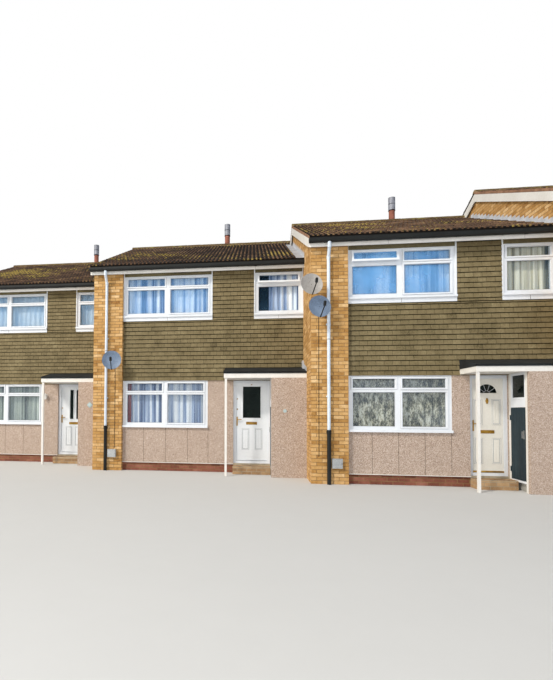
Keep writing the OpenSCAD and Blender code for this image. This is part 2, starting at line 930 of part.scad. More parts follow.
module lower_downpipes() {
    color("#1f2225")
        for (i = [0:last]) {
            house(i)
                translate([pipe_x, 0, 0])
                    lower_pipe(-pier_out, -house_z(i));
            rear_of(i)
                translate([house_w[i] - rear_in / 2, 0, 0])
                    lower_pipe(0, -house_z(i));
        }
}

// Lead up a gable wall in steps, one brick course each, from y0 to y1 over a roof line;
// base is the roof's height at y0 and x runs away from the wall
module stepped_lead(y0, y1, base) {
    course = 75;
    run = course / slope;
    n = floor((y1 - y0) / run);
    across(0, lead_t, concat([[y0, base], [y0 + n * run, base + n * course]],
        [for (k = [n:-1:1]) each [[y0 + k * run, base + (k - 1) * course + lead_up],
            [y0 + (k - 1) * run, base + (k - 1) * course + lead_up]]]));
    across(0, lead_out, [[y0, base], [y0 + n * run, base + n * course],
        [y0 + n * run, base + n * course + lead_t], [y0, base + lead_t]]);
}

// How far past the upper roof's ridge the lead runs, up to where that roof comes down to it
function lead_end(above) = (above - lead_up - 75) / slope / 2;

module lead_flashings() {
    foot = 30 - eave_out;
    color("#8b9096")
        for (i = [1:last]) {
            y0 = step_forward[i] + foot;
            above = step_forward[i] * slope + step_up[i] - roof_v;
            house(i)
                mirror([1, 0, 0])
                    stepped_lead(y0, ridge_y + lead_end(above), nb_top(i, y0) + seat);
            if (!own_above(i))
                rear_of(i)
                    translate([party_t, 0, 0])
                        stepped_lead(foot, ridge_y - step_forward[i] + lead_end(above), roof_top(foot) + seat);
        }
}

module flue_terminals() {
    y = ridge_y + flue_back;
    top = roof_top(ridge_y) + ridge_up + flue_up;
    color("#9a9c9e")
        for (i = [0:last])
            house(i)
                translate([flue_x[i], 0, 0]) {
                    difference() {
                        translate([0, y, roof_under(y) - 100])
                            cylinder(r = flue_r, h = top - flue_case + 150 - roof_under(y), $fn = 32);
                        across(-200, 200, [[ridge_y, 0], [house_d, 0], [house_d, roof_top(house_d)],
                            [ridge_y, roof_top(ridge_y)]]);
                    }
                    translate([0, y, top - flue_case])
                        cylinder(r = flue_r + flue_case_out, h = flue_case, $fn = 32);
                }
}

// A dish on its wall bracket; the plate is on the wall at y = 0 and the bowl faces -Y
module dish(k) {
    r = dish_r[k];
    ball = (r * r + dish_bowl * dish_bowl) / (2 * dish_bowl);
    sag = ball - sqrt(ball * ball - dish_off[k] * dish_off[k]);
    reach = dish_reach;
    block([-dish_plate / 2, -6, -dish_plate], [dish_plate / 2, 0, dish_plate]);
    translate([-dish_side[k], -6 - seat, 0])
        rotate([90, 0, 0])
            cylinder(r = dish_tube, h = reach - 6 - 2 * seat, $fn = 24);
    translate([-dish_side[k], -reach, 0])
        rotate([0, 0, dish_turn])
            rotate([90 - dish_tilt, 0, 0])
                translate([-dish_off[k], 0, -sag]) {
                rotate_extrude($fn = 64)
                    difference() {
                        intersection() {
                            translate([0, ball])
                                circle(r = ball, $fn = 360);
                            square([r, dish_bowl]);
                        }
                        translate([0, ball + 3])
                            circle(r = ball, $fn = 360);
                    }
                translate([0, 1 - r, dish_bowl * 0.9])
                    rotate([-atan2(r * 0.72, dish_arm), 0, 0])
                        cylinder(r = dish_tube * 0.6, h = dish_arm, $fn = 24);
                translate([0, -r * 0.28 - 20, dish_bowl * 0.9 + dish_arm * 0.86])
                    rotate([-65, 0, 0])
                        cylinder(r = dish_tube * 1.7, h = dish_tube * 5, $fn = 24);
            }
}

module satellite_dishes() {
    color("#8d8f90") {
        house(1)
            translate([dish_x[0], -pier_out, dish_z[0]])
                dish(0);
        for (k = [1, 2])
            house(2)
                translate([dish_x[k], -pier_out, dish_z[k]])
                    dish(k);
    }
}

module meter_boxes() {
    left = pipe_x + pipe_r + 6 + meter_gap;
    color("#8a8f8c")
        for (i = [0:last])
            house(i)
                block([left, -pier_out - meter_t, meter_z],
                    [left + meter_w, -pier_out, meter_z + meter_h]);
}

module coach_lantern() {
    color("#202020")
        house(0)
            translate([low_r(0) + 110, 0, 1850]) {
                block([-35, -12, 0], [35, 0, 110]);
                translate([0, -70, 90])
                    rotate([-90, 0, 0])
                        cylinder(r = 8, h = 60, $fn = 24);
                translate([0, -75, -40])
                    cylinder(r = 45, h = 120, $fn = 6);
                translate([0, -75, 80])
                    cylinder(r1 = 60, r2 = 12, h = 50, $fn = 6);
            }
}

// Sizes of the glass in the three front doors that open: x, z, width and height
glass_a = [[330, 1245, 100, 840], [520, 1245, 100, 840]];
glass_b = [[235, 1333, 430, 770]];

module front_leaf(i) {
    w = door_w[i];
    house(i)
        translate([door_x(i), 0, 0]) {
            difference() {
                leaf(w, leaf_in, leaf_t);
                children();
            }
            for (z = [450, 1200, 2000])
                translate([w - jamb_w + hinge_over, hinge_y, z]) {
                    cylinder(r = hinge_r, h = hinge_h, $fn = 24);
                    block([-40, -hinge_r, 0], [0, -hinge_r + 3, hinge_h]);
                }
        }
}

module light_holes(list) {
    for (g = list)
        block([g[0], leaf_in - 1, g[1]], [g[0] + g[2], frame_back + 1, g[1] + g[3]]);
}

module light_panes(i, list) {
    house(i)
        translate([door_x(i), 0, 0])
            for (g = list)
                block([g[0], leaf_in + 12, g[1]], [g[0] + g[2], leaf_in + 32, g[1] + g[3]]);
}

// A letter plate at height z and a lever handle on its long plate
module fittings(i, z, lever_z) {
    w = door_w[i];
    house(i)
        translate([door_x(i), leaf_in, 0]) {
            block([(w - letter_w) / 2, -8, z], [(w + letter_w) / 2, 0, z + letter_h]);
            translate([jamb_w + leaf_gap + 34, 0, lever_z]) {
                block([-15, -10, -110], [15, 0, 110]);
                translate([0, -10 - seat, 40])
                    rotate([90, 0, 0])
                        cylinder(r = 9, h = 28 - seat, $fn = 24);
                block([-9, -56, 31], [110, -38 - seat, 49]);
            }
        }
}

module fan_shape(grow) {
    translate([door_w[2] / 2, 1883])
        intersection() {
            circle(r = 187 + grow, $fn = 64);
            translate([-400, -grow])
                square([800, 400]);
        }
}

module fan_light(y0, y1) {
    translate([0, y1, 0])
        rotate([90, 0, 0])
            linear_extrude(y1 - y0)
                fan_shape(0);
}

module door_a_leaf() {
    color("#f0efe9")
        front_leaf(0)
            light_holes(glass_a);
}

module door_a_glass() {
    color("#59626a")
        light_panes(0, glass_a);
}

module door_a_fittings() {
    color("#c9a24a")
        fittings(0, 1100, 1250);
}

module door_b_leaf() {
    color("#f0efe9")
        front_leaf(1)
            light_holes(glass_b);
}

module door_b_glass() {
    color("#6b747b")
        light_panes(1, glass_b);
}

module door_b_fittings() {
    color("#c9a24a")
        fittings(1, 1180, 1250);
}

module door_c_leaf() {
    color("#f0efe9")
        front_leaf(2)
            fan_light(leaf_in - 1, frame_back + 1);
}

module door_c_glass() {
    color("#6b747b")
        house(2)
            translate([door_x(2), 0, 0])
                fan_light(leaf_in + 12, leaf_in + 32);
}

module door_c_fittings() {
    color("#c9a24a")
        fittings(2, 1085, 1230);
}

module store_door_leaf() {
    y0 = -porch_out + store_t + store_post_in;
    color("#22382c")
        house(2)
            translate([store_x(2), 0, 0]) {
                block([0, y0 + leaf_gap, store_floor_z + 10 + leaf_gap],
                    [store_leaf_t, -store_post_in - leaf_gap, store_door_z - leaf_gap]);
                for (z = [350, 1350])
                    translate([-hinge_r - seat, -store_post_in + hinge_over, z]) {
                        cylinder(r = hinge_r, h = hinge_h, $fn = 24);
                        block([hinge_r - 3, -40, 0], [hinge_r, 0, hinge_h]);
                    }
            }
}

module store_door_handle() {
    color("#c8c8c4")
        house(2)
            translate([store_x(2), -porch_out + store_t + store_post_in + 55, 1000]) {
                block([-6, -20, 0], [0, 20, 160]);
                for (z = [25, 135])
                    translate([-27 + seat, 0, z])
                        rotate([0, 90, 0])
                            cylinder(r = 6, h = 21 - 2 * seat, $fn = 24);
                block([-40, -7, 15], [-27, 7, 145]);
            }
}

brick_piers();
party_and_end_walls();
party_walls_rear();
plinth_walls();
floors();
under_window_panels();
side_panels();
tile_hung_bands();
tile_hung_piers();
head_boards();
window_sills();
apron_boards();
window_frames();
window_glass();
net_curtains();
door_jambs();
door_rails();
door_steps();
fixed_doors();
store_walls();
porch_posts();
porch_roofs();
roof_front();
roof_rear();
roof_over_walls();
ridge_tiles();
bargeboards();
fascia_boards();
soffit_boards();
gutters();
downpipes();
lower_downpipes();
lead_flashings();
flue_terminals();
satellite_dishes();
meter_boxes();
coach_lantern();
door_a_leaf();
door_a_glass();
door_a_fittings();
door_b_leaf();
door_b_glass();
door_b_fittings();
door_c_leaf();
door_c_glass();
door_c_fittings();
store_door_leaf();
store_door_handle();
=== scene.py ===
import math
import random
from math import cos, pi, radians, sin

import bpy
from mathutils import Matrix, Vector


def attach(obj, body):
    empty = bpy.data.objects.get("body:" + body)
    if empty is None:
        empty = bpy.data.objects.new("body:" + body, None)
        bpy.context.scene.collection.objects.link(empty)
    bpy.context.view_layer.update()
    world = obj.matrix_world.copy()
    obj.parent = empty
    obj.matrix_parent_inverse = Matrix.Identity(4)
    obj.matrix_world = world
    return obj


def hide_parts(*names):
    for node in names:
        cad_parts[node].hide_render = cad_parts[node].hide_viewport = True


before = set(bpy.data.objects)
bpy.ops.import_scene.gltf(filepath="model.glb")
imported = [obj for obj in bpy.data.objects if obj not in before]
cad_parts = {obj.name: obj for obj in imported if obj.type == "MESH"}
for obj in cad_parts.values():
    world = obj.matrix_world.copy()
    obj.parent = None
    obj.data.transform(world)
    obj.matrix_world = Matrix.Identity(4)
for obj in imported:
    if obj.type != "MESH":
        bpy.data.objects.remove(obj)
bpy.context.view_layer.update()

# Sizes of the row, in mm, as in the part's source. Lists run from house A to house D.
WIDE = [5050, 5220, 4770, 5220]
AHEAD = [0, 1330, 1370, 670]
UP = [0, 0, 0, 414]
ORIGIN = [(-10407.5, 2700, 0), (-5357.5, 1370, 0), (-137.5, 0, 0), (4632.5, -670, 414)]
DEEP = 7800
PARTY = 275
PIER = 750
PIER_OUT = 100
PLINTH = 210
BAND = 2250
APRON = 3760
SOFFIT = 4990
HEAD = 4900
SILL_UP = 3850
SILL_LOW = 1080
EAVE = 5133
EAVE_OUT = 280
ROOF_V = 52
UNDER = 40
VERGE = 60
PITCH = radians(24.3)
SLOPE = math.tan(PITCH)
RIDGE = DEEP / 2
BIG = [2380, 2270, 2150, 2270]
LOW_LESS = 110
SMALL_X = [4010, 4040, 3750, 4040]
REAR_IN = 400
REAR_SMALL = 1100
REAR_DOOR = 880
DOOR_X = [3490, 3540, 3130, 3540]
DOOR_W = [880, 890, 720, 890]
CANOPY_X = [3300, 3350, 2940, 3350]
STORE_X = [x + w for x, w in zip(DOOR_X, DOOR_W)]
REAR_DOOR_X = [w - REAR_IN - REAR_DOOR for w in WIDE]
FLUE_X = [3150, 3160, 2840, 3160]
HOUSES = range(4)
LAST = 3
LETTERS = "abcd"
MM = 0.001

# Sizes of what this script adds, in mm
BRICK_W, BRICK_H, JOINT = 215, 65, 10
HUNG_W, HUNG_H, HUNG_JOINT = 158.5, 92, 6.5
TILE_W, TILE_L = 300, 345
RIDGE_TILE = 450
RIDGE_UP = 62
LEAD_IN = 203
DOOR_FACE = 95.5


def srgb(text):
    """A colour written as sRGB hex, as linear RGBA."""
    parts = [int(text[k : k + 2], 16) / 255 for k in (0, 2, 4)]
    return (*[c / 12.92 if c <= 0.04045 else ((c + 0.055) / 1.055) ** 2.4 for c in parts], 1.0)


def roof_top(y):
    """Height of the roof's top above a house's own ground, at depth y."""
    return EAVE + (y + EAVE_OUT if y <= RIDGE else DEEP + EAVE_OUT - y) * SLOPE


def brick_line(y):
    """Height of the gable's bricks at depth y, behind the bargeboards."""
    return roof_top(y) - ROOF_V - UNDER


def next_roof(i, y):
    """Height of the roof of the house to the left of house i, in house i's own mm."""
    return roof_top(y - AHEAD[i]) - UP[i]


def crossing(i):
    """Depth at which house i's front slope meets the rear slope of the house to its left."""
    return RIDGE + AHEAD[i] / 2


scene = bpy.context.scene


def placed(name, data):
    """An object of the data, in the scene."""
    o = bpy.data.objects.new(name, data)
    scene.collection.objects.link(o)
    return o


# The camera, fitted to the photo's own lines
EYE = (-1.3592, -9.9543, 1.4911)
yaw, pitch, roll = -0.136684, 0.028547, 0.0057165
ahead = Vector((sin(yaw) * cos(pitch), cos(yaw) * cos(pitch), sin(pitch)))
right = Vector((cos(yaw), -sin(yaw), 0))
upward = right.cross(ahead)
side = cos(roll) * right + sin(roll) * upward
top = -sin(roll) * right + cos(roll) * upward
lens = bpy.data.cameras.new("photo_camera")
lens.sensor_width = 36
lens.lens = 24.345
lens.shift_x = 0.1288
lens.shift_y = 0.0853
lens.clip_end = 200
camera = placed("photo_camera", lens)
rows = [[side[k], top[k], -ahead[k], EYE[k]] for k in range(3)]
camera.matrix_world = Matrix(rows + [[0, 0, 0, 1]])
scene.camera = camera


def new_mesh(name, verts, faces):
    data = bpy.data.meshes.new(name)
    data.from_pydata(verts, [], faces)
    return data


def add(tree, kind, wired=None, **settings):
    """Adds a node with its settings, its sockets linked or set to values."""
    node = tree.nodes.new(kind)
    for key, value in settings.items():
        setattr(node, key, value)
    for socket, value in (wired or {}).items():
        pin = node.inputs[socket]
        if isinstance(value, bpy.types.NodeSocket):
            tree.links.new(value, pin)
        else:
            pin.default_value = value
    return node


def shade(tree, kind, wired=None, **settings):
    """Adds a shader node; kind is its name without ShaderNode."""
    return add(tree, "ShaderNode" + kind, wired, **settings)


def noise(tree, where, scale, detail, **more):
    """Soft noise of scale patches a metre."""
    wired = {"Vector": where, "Scale": scale, "Detail": detail, **more}
    return shade(tree, "TexNoise", wired).outputs["Fac"]


def remap(tree, value, low, high, **to):
    """Value, stretched so that low to high becomes 0 to 1, or what is stated."""
    wired = {"Value": value, "From Min": low, "From Max": high, **to}
    return shade(tree, "MapRange", wired).outputs[0]


def mix(tree, part, a, b):
    """Number a turned into number b by part."""
    return shade(tree, "Mix", {0: part, 2: a, 3: b}).outputs[0]


def blend(tree, part, a, b):
    """Colour a turned into colour b by part."""
    return shade(tree, "Mix", {0: part, 6: a, 7: b}, data_type="RGBA").outputs[2]


def colour_ramp(tree, value, stops):
    """A ramp through (position, colour) stops."""
    ramp = shade(tree, "ValToRGB", {"Fac": value})
    steps = ramp.color_ramp.elements
    while len(steps) < len(stops):
        steps.new(0.5)
    for k, (position, colour) in enumerate(stops):
        steps[k].position = position
        steps[k].color = colour
    return ramp


def emptied(owner):
    """The empty node tree of a material or a world."""
    owner.use_nodes = True
    owner.node_tree.nodes.clear()
    return owner.node_tree


# Light: a pale room with a large soft lamp from the front left
scene.view_settings.view_transform = "Standard"
scene.world = bpy.data.worlds.new("pale_room")
wt = emptied(scene.world)
path = shade(wt, "LightPath").outputs
rays = {0: path["Is Camera Ray"], 1: path["Is Transmission Ray"]}
seen = shade(wt, "Math", rays, operation="MAXIMUM")
fill = shade(wt, "Background", {"Color": srgb("e6edf7"), "Strength": 0.4})
back = shade(wt, "Background", {"Color": (1, 1, 1, 1), "Strength": 1.0})
both = shade(wt, "MixShader", {0: seen.outputs[0], 1: fill.outputs[0], 2: back.outputs[0]})
shade(wt, "OutputWorld", {"Surface": both.outputs[0]})


def lamp(name, place, aim, size, power, colour, mirrored=True):
    """A round lamp at place, in metres, that shines at aim; mirrored lets glossy skins show it."""
    data = bpy.data.lights.new(name, "AREA")
    data.shape = "DISK"
    data.size = size
    data.energy = power
    data.color = srgb(colour)[:3]
    o = placed(name, data)
    o.location = place
    o.rotation_euler = (Vector(aim) - Vector(place)).to_track_quat("-Z", "Y").to_euler()
    o.visible_glossy = mirrored


lamp("key_lamp", (-30, -29, 35), (0, 2, 2.5), 7, 20100, "fff9ef")
lamp("side_lamp", (30, -30, 12), (2, 3, 3), 20, 3700, "eaf1ff", False)
lamp("front_fill", (-3, -17, 2.4), (0, 0, 2.2), 7, 800, "ffffff", False)
lamp("left_lamp", (-40, -14, 12), (2, 0, 4.5), 12, 7400, "fff8ec", False)
lamp("rear_lamp", (9, 48, 30), (0, 6, 3), 18, 15000, "f4f6ff", False)

corners = [(x, y, -0.002) for x, y in ((-60, -45), (60, -45), (60, 60), (-60, 60))]
ground_mesh = new_mesh("studio_floor", corners, [(0, 1, 2, 3)])
placed("studio_floor", ground_mesh)


# Materials
MATERIALS = {}


def new_material(name):
    """An empty procedural material, its node tree and its place in real metres."""
    m = MATERIALS[name] = bpy.data.materials.new(name)
    t = emptied(m)
    return m, t, shade(t, "TexCoord").outputs["Object"]


def surface(name, colours, rough, scale, fine, bump=0.0, tone=0.0, stretch=(1, 1, 1),
            spot=None, metal=0.0, contrast=0.5, grit=0.45, pan_shade=None, stones=False):
    """A procedural surface: colours run from dark to light over soft and fine noise in real
    metres, and over each piece's own tone where it has one. spot is a second colour in
    patches, as (colour, patch size per metre, how much); the colour given for the pans is
    painted shade in a tile's pans, between its rolls; stones gives every pebble its own tone
    instead of a fine noise."""
    m, t, where = new_material(name)
    drawn = shade(t, "Mapping", {"Vector": where, "Scale": stretch}).outputs[0]
    soft = noise(t, drawn, scale, 4.0, Roughness=0.6)
    if stones:
        grain = shade(t, "TexVoronoi", {"Vector": drawn, "Scale": fine})
        fleck, rise = grain.outputs["Color"], grain.outputs["Distance"]
    else:
        fleck = rise = noise(t, drawn, fine, 3.0, Roughness=0.7)
    own = shade(t, "Attribute", attribute_name="tone")
    reach = 0.3 * contrast
    wide = remap(t, mix(t, grit, soft, fleck), 0.5 - reach, 0.5 + reach)
    pick = mix(t, tone, wide, own.outputs["Fac"])
    colours = colours.split()
    gap = 0.84 / (len(colours) - 1)
    stops = [(0.08 + gap * k, srgb(c)) for k, c in enumerate(colours)]
    colour = colour_ramp(t, pick, stops).outputs["Color"]
    if spot:
        shown, size, much = spot
        patch = noise(t, where, size, 6.0, Roughness=0.7)
        group = noise(t, where, size * 0.09, 2.0)
        more = shade(t, "Math", {0: group, 1: 0.7, 2: patch}, operation="MULTIPLY_ADD")
        edge = remap(t, more.outputs[0], 0.97 - 0.2 * much, 1.05 - 0.2 * much)
        colour = blend(t, edge, colour, srgb(shown))
    # Painted shade: the pans between the rolls are coloured near black
    if pan_shade:
        crest = shade(t, "Attribute", attribute_name="crest")
        colour = blend(t, crest.outputs["Fac"], srgb(pan_shade), colour)
    skin = shade(t, "BsdfPrincipled", {"Base Color": colour, "Roughness": rough, "Metallic": metal})
    if bump:
        deep = -bump if stones else bump
        raised = shade(t, "Bump", {"Height": rise, "Strength": 0.6, "Distance": deep})
        t.links.new(raised.outputs[0], skin.inputs["Normal"])
    shade(t, "OutputMaterial", {"Surface": skin.outputs[0]})
    return m


# Weathered buff facing brick, each brick its own tone
surface("buff_brick", "865a29 ab8045 ba9057 c59d66 dbbb8c", 0.86, 9, 160, 0.002, tone=0.6)
surface("lime_mortar", "6b5331 846845 957a55", 0.95, 6, 220, 0.002)
surface("red_brick", "5b3527 744434 855241 946452", 0.86, 9, 160, 0.002, tone=0.55)
surface("step_brick", "7c6046 977754 ac8c66 b99c78", 0.85, 9, 160, 0.002, tone=0.5)
surface("step_mortar", "857a68 a1957f aea28d", 0.95, 6, 220, 0.002)
surface("concrete", "8d8a82 a3a098 b4b1a9", 0.9, 4, 120, 0.001)
# Dry-dash pebbles, pinkish cream
surface("pebbledash", "7a675b a69383 b5a294 cfc0b5", 0.95, 1.5, 82, 0.005, contrast=1.7,
        grit=0.9, stones=True)
# Clay tile hanging, brown with pale worn patches
surface("hung_tiles", "4c4229 6b5f41 786b4c 8b7f5d", 0.8, 2, 40, 0.0015, tone=0.22,
        contrast=0.6)
surface("tile_shadow", "1b170e 241f14 2c2619", 0.95, 4, 60)
# Concrete roof tiles with dark moss, yellow lichen and painted shade in the pans
surface("roof_tiles", "281c15 4b3728 6c513c 9a7a5b", 0.9, 1.6, 26, 0.003, tone=0.4,
        contrast=0.4, grit=0.6, spot=("a9924a", 6.5, 0.26), pan_shade="120c08")
surface("ridge_clay", "453522 5f4b2d 75603d", 0.9, 3, 60, 0.003, tone=0.3, spot=("7d7440", 9.0,
        0.4))
surface("white_upvc", "d3d7db dde1e6 e4e8ec", 0.38, 1.2, 30, contrast=0.9)
surface("white_paint", "d2cec6 dedbd5 e8e6e1", 0.5, 1.5, 25, 0.0003, contrast=0.9)
# Cream head boards under the eaves: their cream, darkened by painted shade of the eaves
surface("cream_boards", "4d4631 655c3f 796f4f", 0.65, 2, 40, 0.0005, stretch=(0.4, 1, 1))
surface("black_felt", "111416 1b1f21 262b2e", 0.85, 3, 150, 0.001)
surface("black_plastic", "0a0b0b 101312 171a19", 0.6, 2, 40)
surface("white_pipe", "b9c4d0 cbd6e1 d8e0e8", 0.4, 2, 30, contrast=0.9)
surface("sheet_lead", "adb0b6 c2c4c9 d3d5d9", 0.55, 5, 60, 0.0008, metal=0.25)
surface("flue_metal", "7d7f87 91949e a5a8b0", 0.55, 4, 60, 0.0003, metal=0.2)
surface("flue_red", "77483a 8f5948 a2695a", 0.8, 4, 60, 0.0008)
surface("dish_metal", "5c6a7c 6b7c92 7d8da2", 0.5, 3, 40)
surface("dish_beige", "98938d a9a49e b8b4ae", 0.5, 3, 40)
surface("meter_plastic", "8f9294 a2a5a6 b0b3b4", 0.5, 3, 40)
surface("black_metal", "101112 1b1c1e 26282a", 0.4, 4, 60, metal=0.4)
surface("white_door", "d2d6d9 dde0e3 e5e8ea", 0.35, 1.2, 30, contrast=0.9)
surface("cream_door", "d6d3ca e0ddd4 e8e6df", 0.35, 1.2, 30, contrast=0.9)
surface("painted_door", "39454b 46545b 536269", 0.5, 2, 30, 0.0002)
surface("green_paint", "12222a 1a2c34 25383f", 0.7, 3, 40, 0.0003, stretch=(1, 1, 0.3))
surface("brass", "7d5d1c a37a2a c49c46", 0.35, 6, 80, metal=0.4)
surface("steel", "7e8184 a2a5a8 b9bcbf", 0.35, 6, 80, metal=0.9)
# Net with painted fold shade and highlights, so it runs in pale and blue-grey streaks
surface("net_fabric", "465a84 9fb0cf e4e9f3 fdfdfe", 0.95, 1.0, 1.9, stretch=(6.5, 1, 0.07),
        contrast=0.32)
# Cream, grey and pale nets and the red curtain: streaks of painted fold shade and highlights
surface("cream_net", "4c4733 a49a7c dbd2b6 efe8d2", 0.95, 1.0, 2.2, stretch=(9, 1, 0.08),
        contrast=0.4)
surface("lace_net", "2b2c22 6f6b56 c2bca4 ebe6d5", 0.95, 9, 30, stretch=(1.6, 1, 0.7),
        contrast=0.45)
surface("grey_net", "474c44 8f968a c3c8ba dde1d6", 0.95, 1.0, 2.2, stretch=(8, 1, 0.08),
        contrast=0.45)
surface("pale_net", "8d99a6 b5c0ca ccd5dc dde3e7", 0.95, 1.0, 1.4, stretch=(4, 1, 0.07),
        contrast=1.1)
surface("red_curtain", "6d120d 9c1c14 b42a1e", 0.9, 1.0, 2.2, stretch=(7, 1, 0.12), contrast=0.9)
surface("ridge_mortar", "6f6046 8a7757 9c8868", 0.95, 5, 80, 0.002)
surface("verge_edge", "6d5140 8f6b53 a37e63", 0.9, 5, 60, 0.002)
# Dark lines of real joints, also laid as painted shade at sash edges and door panels
surface("joint_and_shade_line", "4c4036 5f5144 6f5f50", 0.95, 5, 60)
# Painted shade in the corners of the doors' mouldings
surface("door_grime", "9a9da0 a9adb1 b6babd", 0.7, 5, 60)
surface("plaque_blue", "93a9ad a9bcbf bac9ca", 0.4, 5, 60)


def glass(name, low, high, below, mirrors):
    """Window glass that shows what is behind it under a thin skin of painted sky reflection,
    bluer higher up and patchy. below is the skin's part on the lower floor, and mirrors holds
    the upper floor's, as (from x in metres, part)."""
    t, where = new_material(name)[1:]
    apart = shade(t, "SeparateXYZ", {0: where})
    rise = remap(t, apart.outputs[2], 2.4, 4.2)
    across = remap(t, apart.outputs[0], -11.0, 11.0)
    ramp = colour_ramp(t, across, [((x + 11) / 22, (part, part, part, 1)) for x, part in mirrors])
    ramp.color_ramp.interpolation = "CONSTANT"
    upper = mix(t, rise, below, ramp.outputs["Color"])
    # Painted reflection: cloudy patches make it stronger and weaker
    reflection_patches = remap(t, noise(t, where, 1.3, 3.0), 0.35, 0.65, **{"To Min": 0.6, "To Max": 1.4})
    part = shade(t, "Math", {0: upper, 1: reflection_patches}, operation="MULTIPLY", use_clamp=True)
    tone = blend(t, rise, srgb(low), srgb(high))
    wired = {"Base Color": tone, "Roughness": 0.1, "Specular IOR Level": 0.3}
    skin = shade(t, "BsdfPrincipled", wired)
    see = shade(t, "BsdfTransparent", {"Color": (0.95, 0.97, 0.98, 1)})
    both = shade(t, "MixShader", {0: part.outputs[0], 1: see.outputs[0], 2: skin.outputs[0]})
    shade(t, "OutputMaterial", {"Surface": both.outputs[0]})


# Window glass: painted sky reflection, faint below and bluer on the upper floor, set per window
glass("window_glass", "93a0ae", "7dbdf5", 0.13,
      [(-11, 0.1), (-5.4, 0.15), (-1.5, 0.02), (0, 0.34), (3.4, 0.04), (5, 0.3)])
# Door glass: a near-black skin, painted shade of the unlit hall behind it
glass("door_glass", "101a16", "101a16", 0.85, [(-11, 0.85)])

# What the CAD's bricks and tiles show between the laid ones
BACKING = {"buff_brick": "lime_mortar", "red_brick": "lime_mortar", "step_brick": "step_mortar",
           "hung_tiles": "tile_shadow", "ridge_clay": "ridge_mortar"}
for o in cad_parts.values():
    for s in o.material_slots:
        key = s.material.name.split(".")[0]
        if key == "white_door" and o.name.startswith("door_c"):
            key = "cream_door"
        elif o.name.startswith("coach_lantern"):
            key = "white_paint"
        s.material = MATERIALS[BACKING.get(key, key)]

ground_mesh.materials.append(surface("studio_paper", "cfcfcd d0d0ce d1d1cf", 0.9, 0.2, 2))


# What repeats is laid by Geometry Nodes from a list of places
def laying_tree():
    """Lays one unit on every point, by the point's own turn and size, each with its own tone."""
    t = bpy.data.node_groups.new("laid_units", "GeometryNodeTree")
    for name, way, kind in (
        ("Places", "INPUT", "Geometry"), ("Unit", "INPUT", "Object"), ("Sway", "INPUT", "Float"),
        ("Seed", "INPUT", "Int"), ("Material", "INPUT", "Material"), ("Laid", "OUTPUT", "Geometry"),
    ):
        t.interface.new_socket(name=name, in_out=way, socket_type="NodeSocket" + kind)
    i = add(t, "NodeGroupInput").outputs
    unit = add(t, "GeometryNodeObjectInfo", {"Object": i["Unit"]})
    named = "GeometryNodeInputNamedAttribute"
    turn, size = (add(t, named, {"Name": name}, data_type="FLOAT_VECTOR").outputs[0]
                  for name in ("turn", "size"))
    turned = add(t, "FunctionNodeEulerToRotation", {0: turn})
    least = shade(t, "Math", {0: i["Sway"], 1: -1.0}, operation="MULTIPLY").outputs[0]
    low, high = (shade(t, "CombineXYZ", dict.fromkeys(range(3), v)).outputs[0]
                 for v in (least, i["Sway"]))
    wired = {0: low, 1: high, "Seed": i["Seed"]}
    sway = add(t, "FunctionNodeRandomValue", wired, data_type="FLOAT_VECTOR").outputs[0]
    laid = add(t, "GeometryNodeInstanceOnPoints", {
        "Points": i["Places"], "Instance": unit.outputs["Geometry"],
        "Rotation": turned.outputs[0], "Scale": size,
    })
    rocked = add(t, "GeometryNodeRotateInstances", {"Instances": laid.outputs[0], "Rotation": sway})
    tone = add(t, "FunctionNodeRandomValue", {2: 0.0, 3: 1.0, "Seed": i["Seed"]}, data_type="FLOAT")
    kept = add(t, "GeometryNodeStoreNamedAttribute",
               {"Geometry": rocked.outputs[0], "Name": "tone", "Value": tone.outputs[1]},
               data_type="FLOAT", domain="INSTANCE")
    real = add(t, "GeometryNodeRealizeInstances", {0: kept.outputs[0]})
    wired = {"Geometry": real.outputs[0], "Material": i["Material"]}
    coloured = add(t, "GeometryNodeSetMaterial", wired)
    add(t, "NodeGroupOutput", {0: coloured.outputs[0]})
    return t


LAYING = laying_tree()
PINS = {s.name: s.identifier for s in LAYING.interface.items_tree if s.in_out == "INPUT"}


def show(name, data, body="row"):
    """Puts a mesh in the scene, on its body."""
    o = placed(name, data)
    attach(o, body)
    return o


def laid(name, unit, spots, material, sway, seed):
    """One mesh of the unit laid at every spot: (place in metres, turn, size)."""
    data = new_mesh(name, [s[0] for s in spots], [])
    for key, k in (("turn", 1), ("size", 2)):
        a = data.attributes.new(key, "FLOAT_VECTOR", "POINT")
        a.data.foreach_set("vector", [c for s in spots for c in s[k]])
    o = placed(name, data)
    m = o.modifiers.new("laid", "NODES")
    m.node_group = LAYING
    given = {"Unit": unit, "Sway": sway, "Seed": seed, "Material": MATERIALS[material]}
    for pin, value in given.items():
        m[PINS[pin]] = value
    bpy.context.view_layer.update()
    made = bpy.data.meshes.new_from_object(o.evaluated_get(bpy.context.evaluated_depsgraph_get()))
    o.modifiers.clear()
    o.data = made
    made.name = name
    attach(o, "row")


def unit_mesh(name, verts, faces):
    """A unit to be laid, in metres, kept out of the scene."""
    data = new_mesh(name, verts, faces)
    data.update()
    return bpy.data.objects.new(name, data)


